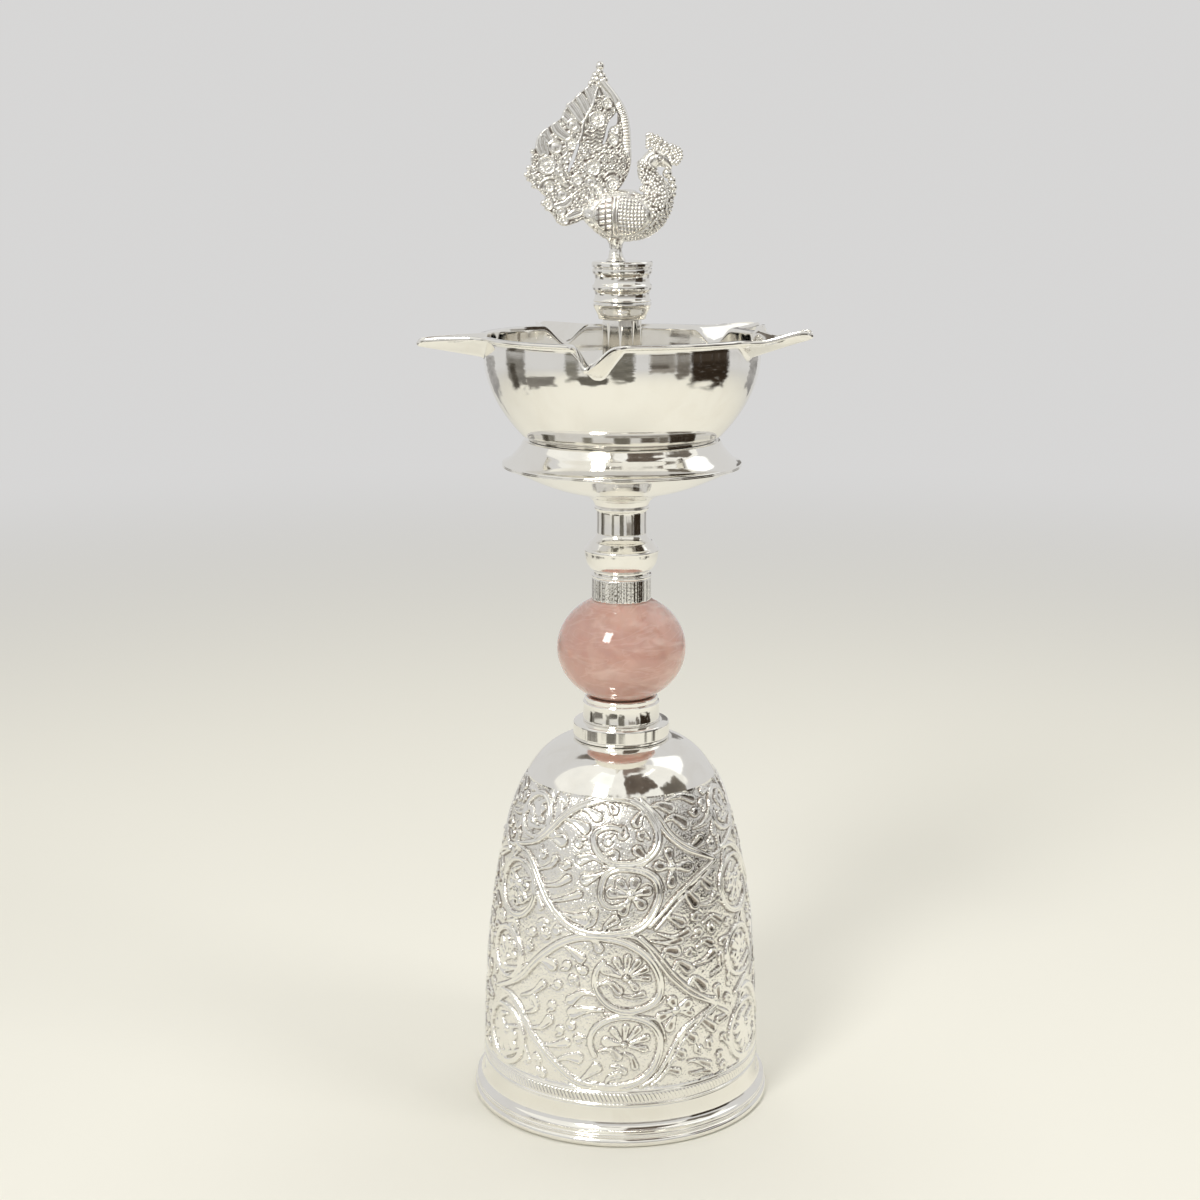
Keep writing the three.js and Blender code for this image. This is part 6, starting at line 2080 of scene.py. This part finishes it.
    def _pierce(self, mesh: Mesh, slit: Sequence[tuple[float, float, float]]) -> None:
        """Cuts a slit through the tail.

        Args:
            mesh: The tail.
            slit: The (across, up, half width) places along it, in mm.
        """
        spots = self._spots(slit)

        def nearest(place: Vector) -> tuple[np.ndarray, float]:
            away = np.hypot(spots[:, 0] - place.x, spots[:, 1] - (place.z - self.base))
            index = int((away - spots[:, 2]).argmin())
            return spots[index], float(away[index])

        inside = []
        for face in mesh.faces:
            spot, away = nearest(face.calc_center_median())
            if away < spot[2]:
                inside.append(face)
        while inside:
            bmesh.ops.delete(mesh, geom=inside, context="FACES")
            pinched = [vert for vert in mesh.verts if sum(edge.is_boundary for edge in vert.link_edges) > 2]
            inside = list({face for vert in pinched for face in vert.link_faces})
        rim = [edge for edge in mesh.edges if edge.is_boundary]
        for vert in {vert for edge in rim for vert in edge.verts}:
            spot, away = nearest(vert.co)
            if away > 1e-6:
                scale = 1.12 * spot[2] / away
                vert.co.x = spot[0] + (vert.co.x - spot[0]) * scale
                vert.co.z = spot[1] + self.base + (vert.co.z - self.base - spot[1]) * scale
        bmesh.ops.bridge_loops(mesh, edges=rim)

    def crest(self) -> None:
        """Builds the crest from knobs in four fanned rows on a thin web."""
        mesh = bmesh.new()
        rng = np.random.default_rng(21)
        inner, outer = spline(CREST_INNER, 11), spline(CREST_OUTER, 14)
        for share, radius in ((0.06, 0.95), (0.38, 0.9), (0.68, 0.95), (0.96, 1.0)):
            count = len(outer) if share > 0.6 else len(inner)
            low, high = (spline(line, 40)[np.linspace(0, 40, count).astype(int)] for line in (inner, outer))
            for start, end in zip(low, high):
                x, z = start + (end - start) * share + rng.uniform(-0.22, 0.22, 2)
                for side in (-0.42, 0.42):
                    size = radius * rng.uniform(0.82, 1.0)
                    place = Matrix.Translation((x, side, z + self.base))
                    bmesh.ops.create_icosphere(mesh, subdivisions=2, radius=size * 0.76, matrix=place)
        self._hand_in(mesh, "peacock_crest_knobs", "peacock_crest")
        web = bmesh.new()
        rim = [*spline(outer, 30), *spline(inner, 24)[::-1]]
        face = web.faces.new([web.verts.new((x, -0.3, z + self.base)) for x, z in rim])
        made = bmesh.ops.extrude_face_region(web, geom=[face])
        moved = [item for item in made["geom"] if isinstance(item, bmesh.types.BMVert)]
        bmesh.ops.translate(web, vec=(0, 0.6, 0), verts=moved)
        bmesh.ops.recalc_face_normals(web, faces=web.faces)
        self._hand_in(web, "peacock_crest_web", "peacock_crest", 35.0)

    def peg(self) -> None:
        """Casts the short rough peg that carries the bird."""
        low, high = self.workshop.frame.reach("finial_peg")
        waist = [
            (1.9, 249.8), (2.9, 249.95), (2.7, 250.3), (2.15, 251.0), (1.8, 252.4), (1.7, 253.6), (1.95, 254.8),
            (2.5, 255.6),
        ]
        steps = np.array([(0.0, low), (1.9, low), *waist, (2.9, high - 0.1), (0.0, high)])
        line = np.concatenate([np.linspace(start, end, 5)[:-1] for start, end in zip(steps, steps[1:])] + [steps[-1:]])
        radii, heights = line[:, :1], line[:, 1:]
        columns = 72
        rough = np.random.default_rng(3).normal(size=(len(line), columns))
        rough = (rough + np.roll(rough, 1, 0) + np.roll(rough, 1, 1) + np.roll(rough, -1, 1)) / 4 * 0.09
        rough *= (heights > 250.1) & (heights < 256.0) & (radii > 0.1)
        places = swept(np.maximum(radii + rough, 0.0), whole_turn(columns), heights) + (self.peg_offset, 0.0, 0.0)
        self._hand_in(rolled(places), "peacock_peg_cast", "finial_peg", 80.0)

    def build(self) -> None:
        """Makes every piece of the bird."""
        for step in (self.body, self.bead_string, self.tail, self.tail_balls, self.crest, self.peg):
            step()


def main() -> None:
    """Builds the studio and the lamp."""
    logging.basicConfig(level=logging.INFO, format="%(name)s: %(message)s")
    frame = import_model()
    packed = PackedFrame()
    Studio(packed).build()
    workshop = Workshop(packed)
    for part in (Stem, Bell, OilBowl, ScrewSocket, Peacock):
        part(workshop).build()
    slots = {part["node"]: Slot(part["material_slot"]) for part in frame["record"]["subparts"]}
    for node, thing in frame["nodes"].items():
        thing.data.materials.clear()
        thing.data.materials.append(workshop.finishes[slots.get(node, Slot.TURNED)])


if __name__ == "__main__":
    main()
